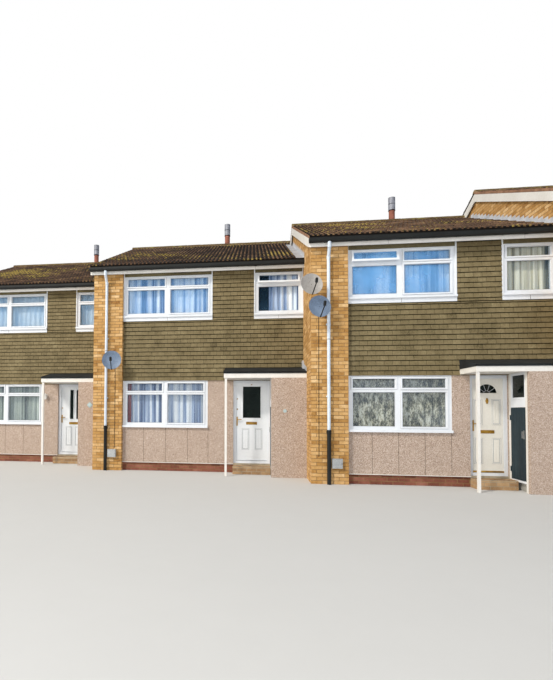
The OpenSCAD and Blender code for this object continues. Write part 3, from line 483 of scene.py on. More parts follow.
def courses(shape, w, h, gap, v, start=None):
    """Units in running courses inside a flat shape, from height v up: (left, low, right,
    high) in mm. Nothing smaller than least is laid."""
    least = 18
    us = [p[0] for p in shape]
    vs = [p[1] for p in shape]
    start = min(us) if start is None else start
    found = []
    k = 0
    while v < max(vs) - least:
        high = min(v + h, max(vs))
        low = max(v, min(vs))
        mid = (low + high) / 2
        cuts = []
        for (ua, va), (ub, vb) in zip(shape, shape[1:] + shape[:1]):
            if (va <= mid) != (vb <= mid):
                cuts.append(ua + (ub - ua) * (mid - va) / (vb - va))
        cuts.sort()
        for a, b in zip(cuts[::2], cuts[1::2]):
            u = start - (0.5 * w if k % 2 else 0)
            u += math.floor((a - u) / w) * w
            while u < b:
                left, rt = max(u, a), min(u + w, b)
                if rt - left > least and high - low > least:
                    found.append((left, low, rt - gap if rt == u + w else rt, high - gap))
                u += w
        v += h
        k += 1
    return found


FRONT, REAR, LEFT, RIGHT = 0.0, pi, -pi / 2, pi / 2


def on_wall(i, facing, corner, pieces, w, h):
    """Spots for pieces (left, low, right, high) on a wall of house i; corner is where u = 0 and
    v = 0 is, in the house's own mm, and the wall faces the front, rear, left or right."""
    ox, oy, oz = ORIGIN[i]
    start = Vector((ox + corner[0], oy + corner[1], oz))
    along = Vector((cos(facing), sin(facing), 0))
    spots = []
    for a, low, b, high in pieces:
        p = start + along * a + Vector((0, 0, low))
        spots.append((p * MM, (0, 0, facing), ((b - a) / w, 1, (high - low) / h)))
    return spots


BOX_FACES = [(0, 3, 2, 1), (4, 5, 6, 7), (0, 1, 5, 4), (1, 2, 6, 5), (2, 3, 7, 6), (3, 0, 4, 7)]


def flat_unit(name, w, h, low_out, top_out, edge=0.0):
    """A brick or plain tile: w by h mm, standing out low_out mm at its foot and top_out at
    its head, its front edges drawn in a little."""
    w, h, e = w * MM, h * MM, edge * MM
    b, c = -low_out * MM, -top_out * MM
    verts = [(0, 0.001, 0), (w, 0.001, 0), (w, 0.001, h), (0, 0.001, h),
             (e, b, e), (w - e, b, e), (w - e, c, h - e), (e, c, h - e)]
    return unit_mesh(name, verts, BOX_FACES)


brick = flat_unit("brick_unit", BRICK_W, BRICK_H, 3.2, 3.2, 1.2)
hung = flat_unit("hung_tile_unit", HUNG_W, HUNG_H, 26, 5)


def bricks(i, facing, corner, shape, start=None):
    """Spots for bricks in courses from the ground up, inside a flat shape on a wall."""
    found = courses(shape, BRICK_W + JOINT, BRICK_H + JOINT, JOINT, -ORIGIN[i][2], start)
    return on_wall(i, facing, corner, found, BRICK_W, BRICK_H)


def box_shape(a, low, b, high):
    return [(a, low), (b, low), (b, high), (a, high)]


# Brick skins: piers, returns, gables and the walls between the houses
buff = []
for i in HOUSES:
    foot = -ORIGIN[i][2]
    front = -PIER_OUT
    buff += bricks(i, FRONT, (0, front), box_shape(0, foot, PIER, SOFFIT))
    buff += bricks(i, RIGHT, (PIER, front), box_shape(0, foot, PIER_OUT, SOFFIT), start=-112)
    if i:
        reach, behind = crossing(i), AHEAD[i]
        peak = brick_line(RIDGE)
        shape = [(PIER_OUT, foot), (PIER_OUT, brick_line(front)), (-RIDGE, peak),
                 (-reach, brick_line(reach)), (-reach, next_roof(i, reach)),
                 (-behind, next_roof(i, behind) - 60), (-behind, foot)]
        buff += bricks(i, LEFT, (0, 0), shape, start=PIER_OUT)
        far = DEEP + behind
        shape = [(DEEP, foot), (far, foot), (far, next_roof(i, far) - ROOF_V - UNDER)]
        if UP[i]:
            shape += [(DEEP, next_roof(i, DEEP) - ROOF_V - UNDER)]
        else:
            shape += [(RIDGE + behind, peak), (reach, next_roof(i, reach) - ROOF_V - UNDER),
                      (reach, roof_top(reach)), (DEEP, roof_top(DEEP) - 60)]
        buff += bricks(i, RIGHT, (PARTY, 0), shape, start=far)
        end = box_shape(0, foot, PARTY, next_roof(i, far) - ROOF_V - 20)
        buff += bricks(i, REAR, (PARTY, far), end)
gable = [(PIER_OUT, 0), (PIER_OUT, brick_line(-PIER_OUT)), (-RIDGE, brick_line(RIDGE)),
         (-DEEP, brick_line(DEEP)), (-DEEP, 0)]
buff += bricks(0, LEFT, (0, 0), gable, start=PIER_OUT)
buff += bricks(0, REAR, (PARTY, DEEP), box_shape(0, 0, PARTY, SOFFIT))
foot = -ORIGIN[LAST][2]
gable = [(-u, v if v else foot) for u, v in gable]
buff += bricks(LAST, RIGHT, (WIDE[LAST] + PARTY, 0), gable, start=-PIER_OUT)
for facing, y, x in ((FRONT, -PIER_OUT, WIDE[LAST]), (REAR, DEEP, WIDE[LAST] + PARTY)):
    buff += bricks(LAST, facing, (x, y), box_shape(0, foot, PARTY, SOFFIT))
laid("facing_bricks", brick, buff, "buff_brick", 0.004, 3)

red = []
for i in HOUSES:
    foot, high = -ORIGIN[i][2], PLINTH - 8
    red += bricks(i, FRONT, (0, 20), box_shape(PIER, foot, DOOR_X[i], high))
    door = REAR_DOOR_X[i]
    for a, b in ((PARTY, door), (door + REAR_DOOR, WIDE[i])):
        red += bricks(i, REAR, (0, DEEP - 20), box_shape(-b, foot, -a, high))
laid("plinth_bricks", brick, red, "red_brick", 0.004, 4)


def hung_tiles(i, facing, y, a, low, b, high):
    """Spots for tiles 105 mm of which shows, with a dark gap under each course."""
    w, h = HUNG_W + HUNG_JOINT, HUNG_H + 2 * HUNG_JOINT
    rows = courses(box_shape(a + 1, low, b - 1, high), w, h, HUNG_JOINT, BAND, 0)
    rows = [(u, v, x, z - HUNG_JOINT) for u, v, x, z in rows]
    return on_wall(i, facing, (0, y), rows, HUNG_W, HUNG_H)


# Tile hanging between the floors and between the upper windows, front and rear
spots = []
for i in HOUSES:
    W = WIDE[i]
    rx, rs = PARTY + REAR_IN, W - REAR_IN - REAR_SMALL
    for shape in ((PIER, BAND, W, APRON), (PIER + BIG[i], APRON, SMALL_X[i], SOFFIT)):
        spots += hung_tiles(i, FRONT, 0, *shape)
    for a, low, b, high in (
        (PARTY, BAND, W, APRON), (PARTY, APRON, rx, SOFFIT),
        (rx + BIG[i], APRON, rs, SOFFIT), (rs + REAR_SMALL, APRON, W, SOFFIT),
    ):
        spots += hung_tiles(i, REAR, DEEP, -b, low, -a, high)
laid("hung_tile_skins", hung, spots, "hung_tiles", 0.012, 5)

# Interlocking roof tiles, each with three rolls that run down the slope
profile = []
for k in (0, 100, 200):
    profile += [(k, 4), (k + 10, 0), (k + 48, 0), (k + 60, 15), (k + 73, 21), (k + 87, 15)]
profile += [(TILE_W, 4)]


def roof_unit(points, length, low, high, name):
    """A profiled tile, low mm thick at its foot and high mm at its head, on the slope's plane."""
    n = len(points)
    ends = ((low, 0), (high, length))
    verts = [(x * MM, -(t + y) * MM, z * MM) for t, z in ends for x, y in points]
    verts += [(x * MM, 0, z * MM) for z in (0, length) for x, y in points]
    faces = []
    for a, b in ((0, n), (n, 3 * n), (3 * n, 2 * n), (2 * n, 0)):
        faces += [(a + k, a + k + 1, b + k + 1, b + k) for k in range(n - 1)]
    faces += [(2 * n, 0, n, 3 * n), (3 * n - 1, 4 * n - 1, 2 * n - 1, n - 1)]
    o = unit_mesh(name, verts, faces)
    # crest is 0 in the pans and 1 on the rolls; it places the painted shade in the pans
    crest = o.data.attributes.new("crest", "FLOAT", "POINT")
    crest.data.foreach_set("value", [min(1, y / 15) for x, y in points] * 3 + [0.0] * n)
    return o


roof_tile = roof_unit(profile, TILE_L, 20, 3, "roof_tile_unit")


def slope_tiles(i, x0, x1, y0, y1, rear=False):
    """Spots for tiles on a slope of house i between x0 and x1, from y0 down the slope to y1
    up it; y is measured from the front wall, or from the rear wall for the rear slope."""
    ox, oy, oz = ORIGIN[i]
    turn = (PITCH - pi / 2, 0, pi if rear else 0)
    cols = max(1, round((x1 - x0) / TILE_W))
    long = (y1 - y0) / cos(PITCH)
    rows = max(1, round(long / TILE_L))
    w, l = (x1 - x0) / cols, long / rows
    found = []
    for r in range(rows):
        y = y0 + r * l * cos(PITCH)
        z = oz + (roof_top(y) + 0.5)
        for c in range(cols):
            p = (ox + x1 - c * w, oy + DEEP - y, z) if rear else (ox + (x0 + c * w), oy + y, z)
            found.append((Vector(p) * MM, turn, (w / TILE_W, 1, (l + 6) / TILE_L)))
    return found


for rear in (False, True):
    spots = []
    for i in HOUSES:
        down, up_to = -EAVE_OUT - 18, RIDGE - 6
        far = WIDE[i] + PARTY + VERGE
        if rear:
            left = PARTY + LEAD_IN if i and not UP[i] else -VERGE
            end = WIDE[i] if i < LAST and UP[i + 1] else far
            spots += slope_tiles(i, left, end, down, up_to, True)
            if i and not UP[i]:
                spots += slope_tiles(i, -VERGE, PARTY + 200, DEEP - crossing(i) + 10, up_to, True)
        else:
            spots += slope_tiles(i, -VERGE, WIDE[i] - LEAD_IN if i < LAST else far, down, up_to)
            if i < LAST and not UP[i + 1]:
                spots += slope_tiles(i, WIDE[i] - 200, far, DEEP - crossing(i + 1) + 10, up_to)
    name = "rear_roof_tiles" if rear else "front_roof_tiles"
    laid(name, roof_tile, spots, "roof_tiles", 0.006, 7 + rear)


def windows(i):
    """House i's windows, as (name, at the rear, left, width, foot, head)."""
    rx, rs, small = PARTY + REAR_IN, WIDE[i] - REAR_IN - REAR_SMALL, SMALL_X[i]
    up, down, less = SILL_UP + 40, SILL_LOW + 50, BIG[i] - LOW_LESS
    return [
        ("front_upper_wide", False, PIER, BIG[i], up, HEAD),
        ("front_upper_small", False, small, WIDE[i] - small, up, HEAD),
        ("front_lower", False, PIER, less, down, BAND),
        ("rear_upper_wide", True, rx, BIG[i], up, HEAD),
        ("rear_upper_small", True, rs, REAR_SMALL, up, HEAD),
        ("rear_lower", True, rx, less, down, BAND),
    ]


def net(name, x, y, z, w, h, rear, fold=150, deep=17, seed=1, cloth="net_fabric", stands=True):
    """A net w by h mm, hanging in soft folds, whose left top corner is at x, y, z."""
    rnd = random.Random(seed)
    folds = max(3, round(w / fold))
    n = folds * 6
    rows = 8
    shift = [rnd.uniform(-0.4, 0.4) for _ in range(folds + 1)]
    verts, length = [], 0
    for r in range(rows + 1):
        f = r / rows
        a = (0.55 + 0.45 * f) * deep
        for c in range(n + 1):
            k = c / 6
            s = shift[int(k) % (folds + 1)] * (1 - abs(2 * (k % 1) - 1))
            yy = a * sin(2 * pi * k + s * f)
            verts.append(((x + w * c / n) * MM, (y + yy) * MM, (z - h * f) * MM))
            if c:
                length += (Vector(verts[-2]) - Vector(verts[-1])).length / (rows + 1)
    corners = [r * (n + 1) + c for r in range(rows) for c in range(n)]
    faces = [(q, q + n + 1, q + n + 2, q + 1) for q in corners]
    if rear:
        faces = [f[::-1] for f in faces]
    data = new_mesh(name, verts, faces)
    data.shade_smooth()
    data.materials.append(MATERIALS[cloth])
    o = show(name, data)
    if stands:
        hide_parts("net_curtains")


# Net curtains behind every window; one of house B's stops short, and a red one hangs below it
CLOTHS = {(0, 0): "pale_net", (0, 1): "pale_net", (0, 2): "grey_net", (2, 1): "cream_net",
          (2, 2): "lace_net"}
for i in HOUSES:
    ox, oy, oz = ORIGIN[i]
    for k, (tag, rear, x, w, low, high) in enumerate(windows(i)):
        y = DEEP - 165 if rear else 165
        cut = 0.3 * w if (i, k) == (1, 1) else 0
        z, h = oz + high - 4, high - low - 12
        net(f"net_{LETTERS[i]}_{tag}", ox + x + 8 + cut, oy + y, z, w - 16 - cut, h, rear,
            fold=110 if cut else 150, seed=10 * i + k, cloth=CLOTHS.get((i, k), "net_fabric"))
        if (i, k) == (1, 2):
            net("curtain_b_red", ox + x + 60, oy + 128, z, 128, h, rear, fold=32, deep=7, seed=5,
                cloth="red_curtain", stands=False)


# Small parts are gathered as closed shapes and joined by kind
class Pieces:
    """Gathers closed shapes, in a house's own mm, into one mesh."""

    def __init__(self):
        self.verts, self.faces = [], []

    def put(self, verts, faces, matrix, flip=False):
        """Adds one closed shape; flip turns its faces over where the matrix mirrors it."""
        n = len(self.verts)
        self.verts += [tuple((matrix @ Vector(v)) * MM) for v in verts]
        self.faces += [tuple(n + k for k in (f[::-1] if flip else f)) for f in faces]

    def shape(self, house, verts, faces, rear=False):
        """Adds a shape on the house's front wall, or mirrored onto its rear wall."""
        m = at(house)
        if rear:
            m = m @ Matrix.Translation((0, DEEP, 0)) @ Matrix.Diagonal((1, -1, 1, 1))
        self.put(verts, faces, m, rear)

    def box(self, house, a, b, rear=False):
        """A box from corner a to corner b."""
        verts = [(x, y, z) for z in (a[2], b[2])
                 for x, y in ((a[0], a[1]), (b[0], a[1]), (b[0], b[1]), (a[0], b[1]))]
        self.shape(house, verts, BOX_FACES, rear)

    def ring(self, house, x0, z0, x1, z1, wide, y0, y1, draw, rear=False):
        """A mitred frame wide mm across inside the box x0..x1, z0..z1. Its face, at y0, is
        drawn in by draw mm all round."""
        verts = []
        for y, e in ((y1, 0), (y0, draw)):
            for f in (e, wide - e):
                a, b, c, d = x0 + f, x1 - f, z0 + f, z1 - f
                verts += [(a, y, c), (b, y, c), (b, y, d), (a, y, d)]
        faces = []
        for k in range(4):
            n = (k + 1) % 4
            faces += [(8 + k, 8 + n, 12 + n, 12 + k), (k, n, 8 + n, 8 + k),
                      (4 + n, 4 + k, 12 + k, 12 + n), (n, k, 4 + k, 4 + n)]
        self.shape(house, verts, faces, rear)

    def prism(self, house, points, x0, x1, rear=False):
        """The (y, z) outline, drawn out from x0 to x1."""
        n = len(points)
        if sum(a[0] * b[1] - b[0] * a[1] for a, b in zip(points, points[1:] + points[:1])) < 0:
            points = points[::-1]
        verts = [(x, y, z) for x in (x0, x1) for y, z in points]
        faces = [tuple(range(n - 1, -1, -1)), tuple(range(n, 2 * n))]
        faces += [(k, (k + 1) % n, n + (k + 1) % n, n + k) for k in range(n)]
        self.shape(house, verts, faces, rear)

    def lathe(self, points, matrix, n):
        """Turns the (radius, height) outline round the matrix's Z in n steps, its ends closed."""
        verts = [(r * cos(2 * pi * k / n), r * sin(2 * pi * k / n), z)
                 for r, z in points for k in range(n)]
        faces = [(j * n + k, j * n + (k + 1) % n, (j + 1) * n + (k + 1) % n, (j + 1) * n + k)
                 for j in range(len(points) - 1) for k in range(n)]
        faces += [tuple(range(n - 1, -1, -1)), tuple(range((len(points) - 1) * n, len(points) * n))]
        self.put(verts, faces, matrix)

    def tube(self, matrix, p, q, r, n):
        """A round bar of radius r from p to q."""
        p, q = Vector(p), Vector(q)
        turn = (q - p).to_track_quat("Z", "Y").to_matrix().to_4x4()
        self.lathe([(r, 0), (r, (q - p).length)], matrix @ Matrix.Translation(p) @ turn, n)

    def make(self, name, material, body="row", skin=None, smooth=False):
        """The one mesh of all the shapes. skin is not used."""
        data = new_mesh(name, self.verts, self.faces)
        if smooth:
            data.shade_smooth()
            data.set_sharp_from_angle(angle=radians(40))
        data.materials.append(MATERIALS[material])
        show(name, data, body)


def at(i, *place):
    """The matrix of house i's own mm, moved to a place in the house."""
    m = Matrix.Translation(ORIGIN[i])
    return m @ Matrix.Translation(place) if place else m


def lights(w, h, wide):
    """The panes of a window w by h mm, as (left, foot, right, head), each lower one first."""
    edge, post = 105, 135
    cols = [(edge, (w - post) / 2), ((w + post) / 2, w - edge)] if wide else [(edge, w - edge)]
    return [(a, c, b, d) for a, b in cols for c, d in ((60, h - 340), (h - 260, h - 60))]


# Window sashes, beads and gaskets, and the trims beside the upper windows. The two top lights
# that stand open have theirs in the CAD.
OPEN_LIGHTS = ((2, "front_upper_wide", 1), (1, "front_upper_small", 1))
TRIM = 24
sashes, beads, gaskets, trims, lines = (Pieces() for _ in range(5))
for i in HOUSES:
    for tag, rear, x, w, low, high in windows(i):
        wide = "small" not in tag
        for k, (a, c, b, d) in enumerate(lights(w, high - low, wide)):
            a, b, c, d = x + a, x + b, low + c, low + d
            if (i, tag, k) in OPEN_LIGHTS:
                continue
            if k % 2 or (wide and k == 2):
                sashes.ring(i, a - 36, c - 30, b + 36, d + 30, 34, -6, 10, 3, rear)
                # A dark line at each sash's edge: painted shade where the sash stands proud of the
                # frame
                lines.ring(i, a - 38, c - 32, b + 38, d + 32, 3, 8.5, 10, 0.3, rear)
            beads.ring(i, a, c, b, d, 10, 22, 33, 1, rear)
            gaskets.ring(i, a + 10, c + 10, b - 10, d - 10, 4, 30, 33, 0.5, rear)
        if high == HEAD:
            for e in (x, x + w - TRIM):
                trims.box(i, (e, -24, APRON), (e + TRIM, 9, SOFFIT), rear)
            lines.box(i, (x + w / 2, -26, APRON + 4), (x + w / 2 + 3, -20, SILL_UP - 2), rear)
sashes.make("window_sash_frames", "white_upvc", skin=True)
beads.make("glazing_beads", "white_upvc", skin=True)
gaskets.make("glazing_gaskets", "black_plastic")
trims.make("window_side_trims", "white_upvc", skin=True)

# Joints between the pebbledash panels and the pale drip along their foot
JOINTS = [(1310, 1880, 2440, 3030), (1295, 1857, 2411, 2922), (1238, 1758, 2270, 2775)]
JOINTS += JOINTS[1:2]
drips = Pieces()
for i in HOUSES:
    W = WIDE[i]
    rx, door = PARTY + REAR_IN, REAR_DOOR_X[i]
    quarter = (BIG[i] - LOW_LESS) / 4
    for x, rear in [(x, False) for x in JOINTS[i]] + [(rx + k * quarter, True) for k in (1, 2, 3)]:
        lines.box(i, (x - 4, -1.2, PLINTH), (x + 4, 0.5, SILL_LOW), rear)
    for a, b, rear in ((PIER, DOOR_X[i], False), (PARTY, door, True), (door + REAR_DOOR, W, True)):
        drips.box(i, (a, -30, PLINTH - 6), (b, 0.5, PLINTH + 4), rear)
drips.make("panel_drips", "white_paint", skin=True)
# Real joints between the panels, and the sashes' lines of painted shade
lines.make("panel_and_sash_joints", "joint_and_shade_line")


def trough(y, r):
    """The outline of a deep gutter of radius r round depth y."""
    arc = [(y + r * cos(a), 5040 + r * sin(a)) for a in (pi * (1 + k / 10) for k in range(11))]
    return [(y - r, 5079)] + arc + [(y + r, 5079)]


# Gutter brackets every 850 mm, a union at every third, and the fascia boards' joints
clips, seams = Pieces(), Pieces()
for i in HOUSES:
    for rear in (False, True):
        x0 = PARTY + (VERGE + 2 if UP[i] else 0) if rear and i else -VERGE
        x1 = WIDE[i] + (PARTY + VERGE if rear or i == LAST else 0)
        for k in range(int((x1 - x0) / 850)):
            x = x0 + 300 + k * 850
            clips.prism(i, trough(-276, 59.5), x, x + 24, rear)
            if k % 3 == 1:
                clips.prism(i, trough(-276, 60.5), x + 400, x + 470, rear)
                seams.box(i, (x + 430, -221, 4921), (x + 433, -219, 5070), rear)
clips.make("gutter_brackets", "black_plastic", skin=True)
seams.make("fascia_joints", "joint_and_shade_line")

# Ridge tiles, half round and bedded in mortar
n = 10
arc = [radians(18 + 144 * k / n) for k in range(n + 1)]
verts = [(x * MM, -r * cos(a) * MM, r * sin(a) * MM)
         for x, grow in ((0, 0), (RIDGE_TILE - 8, 3)) for r in (114 + grow, 103) for a in arc]
m = n + 1
faces = []
for k in range(n):
    faces += [(k, k + 1, 2 * m + k + 1, 2 * m + k), (m + k + 1, m + k, 3 * m + k, 3 * m + k + 1),
              (k + 1, k, m + k, m + k + 1), (2 * m + k, 2 * m + k + 1, 3 * m + k + 1, 3 * m + k)]
faces += [(0, 2 * m, 3 * m, m), (n, m + n, 3 * m + n, 2 * m + n)]
ridge_unit = unit_mesh("ridge_unit", verts, [f[::-1] for f in faces])
spots = []
for i in HOUSES:
    ox, oy, oz = ORIGIN[i]
    long = WIDE[i] + (VERGE - 2 if i < LAST and UP[i + 1] else PARTY + 2 * VERGE)
    n = round(long / RIDGE_TILE)
    z = oz + roof_top(RIDGE) + RIDGE_UP - 110
    for k in range(n):
        p = Vector((ox - VERGE + k * long / n, oy + RIDGE, z)) * MM
        spots.append((p, (0, 0, 0), (long / n / RIDGE_TILE, 1, 1)))
laid("ridge_tile_rows", ridge_unit, spots, "ridge_clay", 0.004, 11)

# Mortared tile edges along the verges
verges = Pieces()
foot, peak = roof_top(-296), roof_top(RIDGE)
lip = [(-296, foot - 48), (RIDGE, peak - 48), (RIDGE, peak + 20), (-296, foot + 14)]
for i in HOUSES:
    e = WIDE[i] + PARTY + VERGE
    if i:
        verges.prism(i, lip, -VERGE - 4, -VERGE + 8)
    if i == LAST or not UP[i + 1]:
        verges.prism(i, lip, e - 8, e if i == LAST else e + 4, True)
    if i == LAST:
        verges.prism(i, lip, e - 8, e)
verges.make("verge_edges", "verge_edge")

# Flues: a clay-red lower pipe in a lead collar, and dark bands on the casing
red_pipes, bands, collars = Pieces(), Pieces(), Pieces()
fy = RIDGE + 205
foot, high = roof_top(fy), roof_top(RIDGE) + RIDGE_UP + 718
for i in HOUSES:
    stem = at(i, FLUE_X[i], fy, 0)
    red_pipes.lathe([(84.5, foot - 20), (84.5, high - 381)], stem, 24)
    for z, h, r in ((high - 392, 26, 97.5), (high - 205, 20, 96.5), (high - 9, 9, 96.5)):
        bands.lathe([(r - 3, z), (r, z + 3), (r, z + h - 3), (r - 3, z + h)], stem, 24)
    collar = ((86, -60), (165, -60), (160, 60), (96, 110), (86, 150))
    collars.lathe([(r, foot + z) for r, z in collar], stem, 24)
red_pipes.make("flue_lower_pipes", "flue_red", smooth=True)
bands.make("flue_bands", "black_metal", smooth=True)
collars.make("flue_collars", "sheet_lead", skin=True, smooth=True)

# Dishes: a painted face, a black arm and receiver, and a cable down the pier. Each is
# (house, x, height, radius, how far it stands aside, how far the bowl's middle is off).
DISHES = [(1, 560, 2735, 235, 0, 0), (2, 50, 4093, 225, 34, 44), (2, 130, 3632, 230, 0, 0)]
BOWL = 42
receivers, cables = Pieces(), Pieces()
for k, (i, x, z, r, to_side, off) in enumerate(DISHES):
    ball = (r * r + BOWL * BOWL) / (2 * BOWL)
    sag = ball - math.sqrt(ball * ball - off * off)
    m = at(i, x - to_side, -PIER_OUT - 260, z) @ Matrix.Rotation(radians(12), 4, "Z")
    m = m @ Matrix.Rotation(radians(82), 4, "X") @ Matrix.Translation((-off, 0, -sag))
    face = Pieces()
    steps = [r * j / 7 * 0.995 for j in range(8)]
    curve = [(max(e, 0.5), ball - math.sqrt(ball * ball - e * e)) for e in steps]
    face.lathe([(e, h + 3.1) for e, h in curve] + [(e, h + 4.6) for e, h in curve[::-1]], m, 36)
    paint = "dish_beige" if k == 1 else "dish_metal"
    face.make(f"dish_face_{k + 1}", paint, skin="dish_metal", smooth=True)
    lean = math.atan2(r * 0.72, 300)
    foot = Vector((0, 1 - r, 37.8))
    along = Vector((0, sin(lean), cos(lean)))
    receivers.tube(m, foot - 6 * along, foot + 302 * along, 11, 12)
    head = Vector((0, -r * 0.28 - 20, 37.8 + 258))
    down = Vector((0, sin(radians(65)), cos(radians(65))))
    receivers.tube(m, head - 2 * down, head + 83 * down, 28.5, 16)
    receivers.tube(m, head + 83 * down, head + 96 * down, 20, 16)
    receivers.tube(m, (0, 0, 3), (0, 0, 9), 6, 8)
    for a in (-0.6, 0.6):
        x, y = r * 0.3 * sin(a), 0.25 * r
        receivers.tube(m, (x, y, 5), (x, y, 9), 4, 6)
receivers.make("dish_receivers", "black_plastic", skin=True, smooth=True)
for i, x, high in ((2, 154, 3560), (1, 575, 2640)):
    cables.tube(at(i), (x, -107, 560), (x, -107, high), 5, 6)
    cables.tube(at(i), (x, -107, 565), (x, -96, 565), 5, 6)
for z in range(800, 3500, 450):
    cables.box(2, (145, -114, z), (163, -100, z + 14))
cables.make("dish_cables", "black_plastic", smooth=True)

# Joints in the pipes
sockets = Pieces()
for i in HOUSES:
    for pipe in (at(i, 350, 0, 0) @ Matrix.Translation((0, -PIER_OUT - 54, 0)),
                 at(i, WIDE[i] - REAR_IN / 2, DEEP, 0) @ Matrix.Translation((0, 54, 0))):
        for z in (2990, 3000):
            sockets.lathe([(34.6, z), (36, z + 2), (36, z + 4), (34.6, z + 6)], pipe, 20)
sockets.make("pipe_joints", "joint_and_shade_line", smooth=True)

# Porch roofs: the felt's turned edge and the lead upstand on the next pier
felt, upstands = Pieces(), Pieces()
for i in HOUSES:
    a, b = CANOPY_X[i], WIDE[i]
    end = b if i < LAST else b + 8
    felt.prism(i, [(-715, 2366), (-701, 2366), (-701, 2412), (-715, 2406)], a - 8, end)
    felt.prism(i, [(-715, 2366), (0, 2366), (0, 2568), (-715, 2412)], a - 8, a - 0.5)
    if i < LAST:
        upstands.prism(i, [(-700, 2400), (-2, 2556), (-2, 2668), (-700, 2500)], b - 5, b - 0.5)
        lip = [(-230, 2500), (-30, 2548), (-30, 2700), (-110, 2715), (-230, 2640)]
        upstands.prism(i, lip, b - 40, b - 6)
felt.make("porch_felt_edges", "black_felt", skin=True)

# Lead saddles where the stepped lead meets the tiles at its head, and where the roof steps up
for i in range(LAST):
    stepped = not UP[i + 1]
    high = DEEP - crossing(i + 1) + 14 if stepped else RIDGE - 12
    low = high - 330
    saddle = [(y, roof_top(y) + up) for y, up in ((low, 1), (high, 1), (high, 9), (low, 6))]
    upstands.prism(i, saddle, WIDE[i] - LEAD_IN, WIDE[i] - 1)
    if stepped:
        upstands.prism(i + 1, saddle, PARTY + 1, PARTY + LEAD_IN, True)
upstands.make("lead_saddles_and_upstands", "sheet_lead", skin=True)

# Front doors: raised panels, mouldings, locks and the lead lines of the half-round light
mould, metal, moulding_shade = ([Pieces() for house in HOUSES] for kind in range(3))


def panel(p, i, x0, z0, x1, z1, rear=False):
    """A raised panel on a door's face at y = 95, with painted shade along its two edges."""
    y = 95
    # Two thin grey rings round each panel are painted shade in the moulding's corners
    for out, wide in ((5, 6), (-14, 12)):
        moulding_shade[LAST if rear else i].ring(
            i, x0 - out, z0 - out, x1 + out, z1 + out, wide, y - 0.8, y + 0.5, 0.2, rear)
    p.ring(i, x0, z0, x1, z1, 16, y - 6, y + 0.5, 5, rear)
    p.ring(i, x0 + 26, z0 + 26, x1 - 26, z1 - 26, (x1 - x0) / 2 - 26.5, y - 4, y + 0.5, 6, rear)


def weather_bar(i, a, b, low, high):
    mould[i].box(i, (a, 84, low), (b, DOOR_FACE, high))


def lock(i, x, z, r):
    metal[i].tube(at(i), (x, DOOR_FACE, z), (x, 86, z), r, 14)


# Door A: two tall panes over two panels
for a in (3820, 4010):
    mould[0].ring(0, a - 26, 1219, a + 126, 2111, 26, 87, DOOR_FACE, 6)
for a, b in ((3700, 3880), (3980, 4160)):
    panel(mould[0], 0, a, 480, b, 1030)
weather_bar(0, 3550, 4310, 300, 330)
lock(0, 3590, 1560, 16)

# Door B: one wide pane over two panels
for a, b in ((3751, 3923), (4068, 4239)):
    panel(mould[1], 1, a, 558, b, 1073)
mould[1].ring(1, 3748, 1306, 4232, 2130, 28, 87, DOOR_FACE, 6)
mould[1].box(1, (3790, 86, 385), (4110, DOOR_FACE, 401))
weather_bar(1, 3600, 4370, 300, 330)
for x, z, r in ((3637, 1800, 15), (3637, 1547, 17), (3985, 2152, 14)):
    lock(1, x, z, r)

# Door C: four panels under a half-round light with lead lines
MID, SPRING = 3490, 1883
for a, b in ((3240, 3399), (3581, 3740)):
    for low, high in ((1249, 1762), (468, 981)):
        panel(mould[2], 2, a, low, b, high)
weather_bar(2, 3190, 3790, 324, 346)


def half_round(r, n):
    """Points of the half circle of radius r over the light's foot, in n steps."""
    return [(MID + r * cos(pi * k / n), SPRING + r * sin(pi * k / n)) for k in range(n + 1)]


rim = half_round(203, 16)
for (x, z), (u, v) in zip(rim, rim[1:] + rim[:1]):
    mould[2].tube(at(2), (x, 92, z), (u, 92, v), 11, 8)
cames = Pieces()
hub = half_round(55, 8)
for a in (36, 72, 108, 144):
    ray = [(MID + r * cos(radians(a)), 105, SPRING + r * sin(radians(a))) for r in (55, 186)]
    cames.tube(at(2), *ray, 3.5, 6)
for (x, z), (u, v) in zip(hub, hub[1:]):
    cames.tube(at(2), (x, 105, z), (u, 105, v), 3.5, 6)
cames.make("door_c_lead_lines", "sheet_lead", body="front_door_c")
TURN = Matrix.Rotation(pi / 2, 4, "X")
knocker = at(2, MID, DOOR_FACE, 1731)
metal[2].lathe([(30, 0), (30, 5), (24, 8)], knocker @ TURN, 20)
metal[2].lathe([(30, 0), (30, 9), (24, 12)], knocker @ Matrix.Diagonal((0.8, 1, 2.1, 1)) @ TURN, 20)
metal[2].box(2, (3186, 76, 292), (3794, 96, 322))

# Letterplates of the three, by middle and foot
for i, (x, z) in enumerate(((3930, 1100), (3985, 1180), (3490, 1085))):
    metal[i].ring(i, x - 122, z, x + 122, z + 46, 8, 83, 88, 1)
    metal[i].ring(i, x - 134, z - 12, x + 134, z + 58, 12, 91, DOOR_FACE, 2)
    door, body = f"door_{LETTERS[i]}", f"front_door_{LETTERS[i]}"
    mould[i].make(f"{door}_mouldings", "cream_door" if i == 2 else "white_door", body, "white_door")
    metal[i].make(f"{door}_locks", "brass", body, True)
    # The panel lines are painted shade round the raised panels
    moulding_shade[i].make(f"{door}_panel_lines", "door_grime", body)

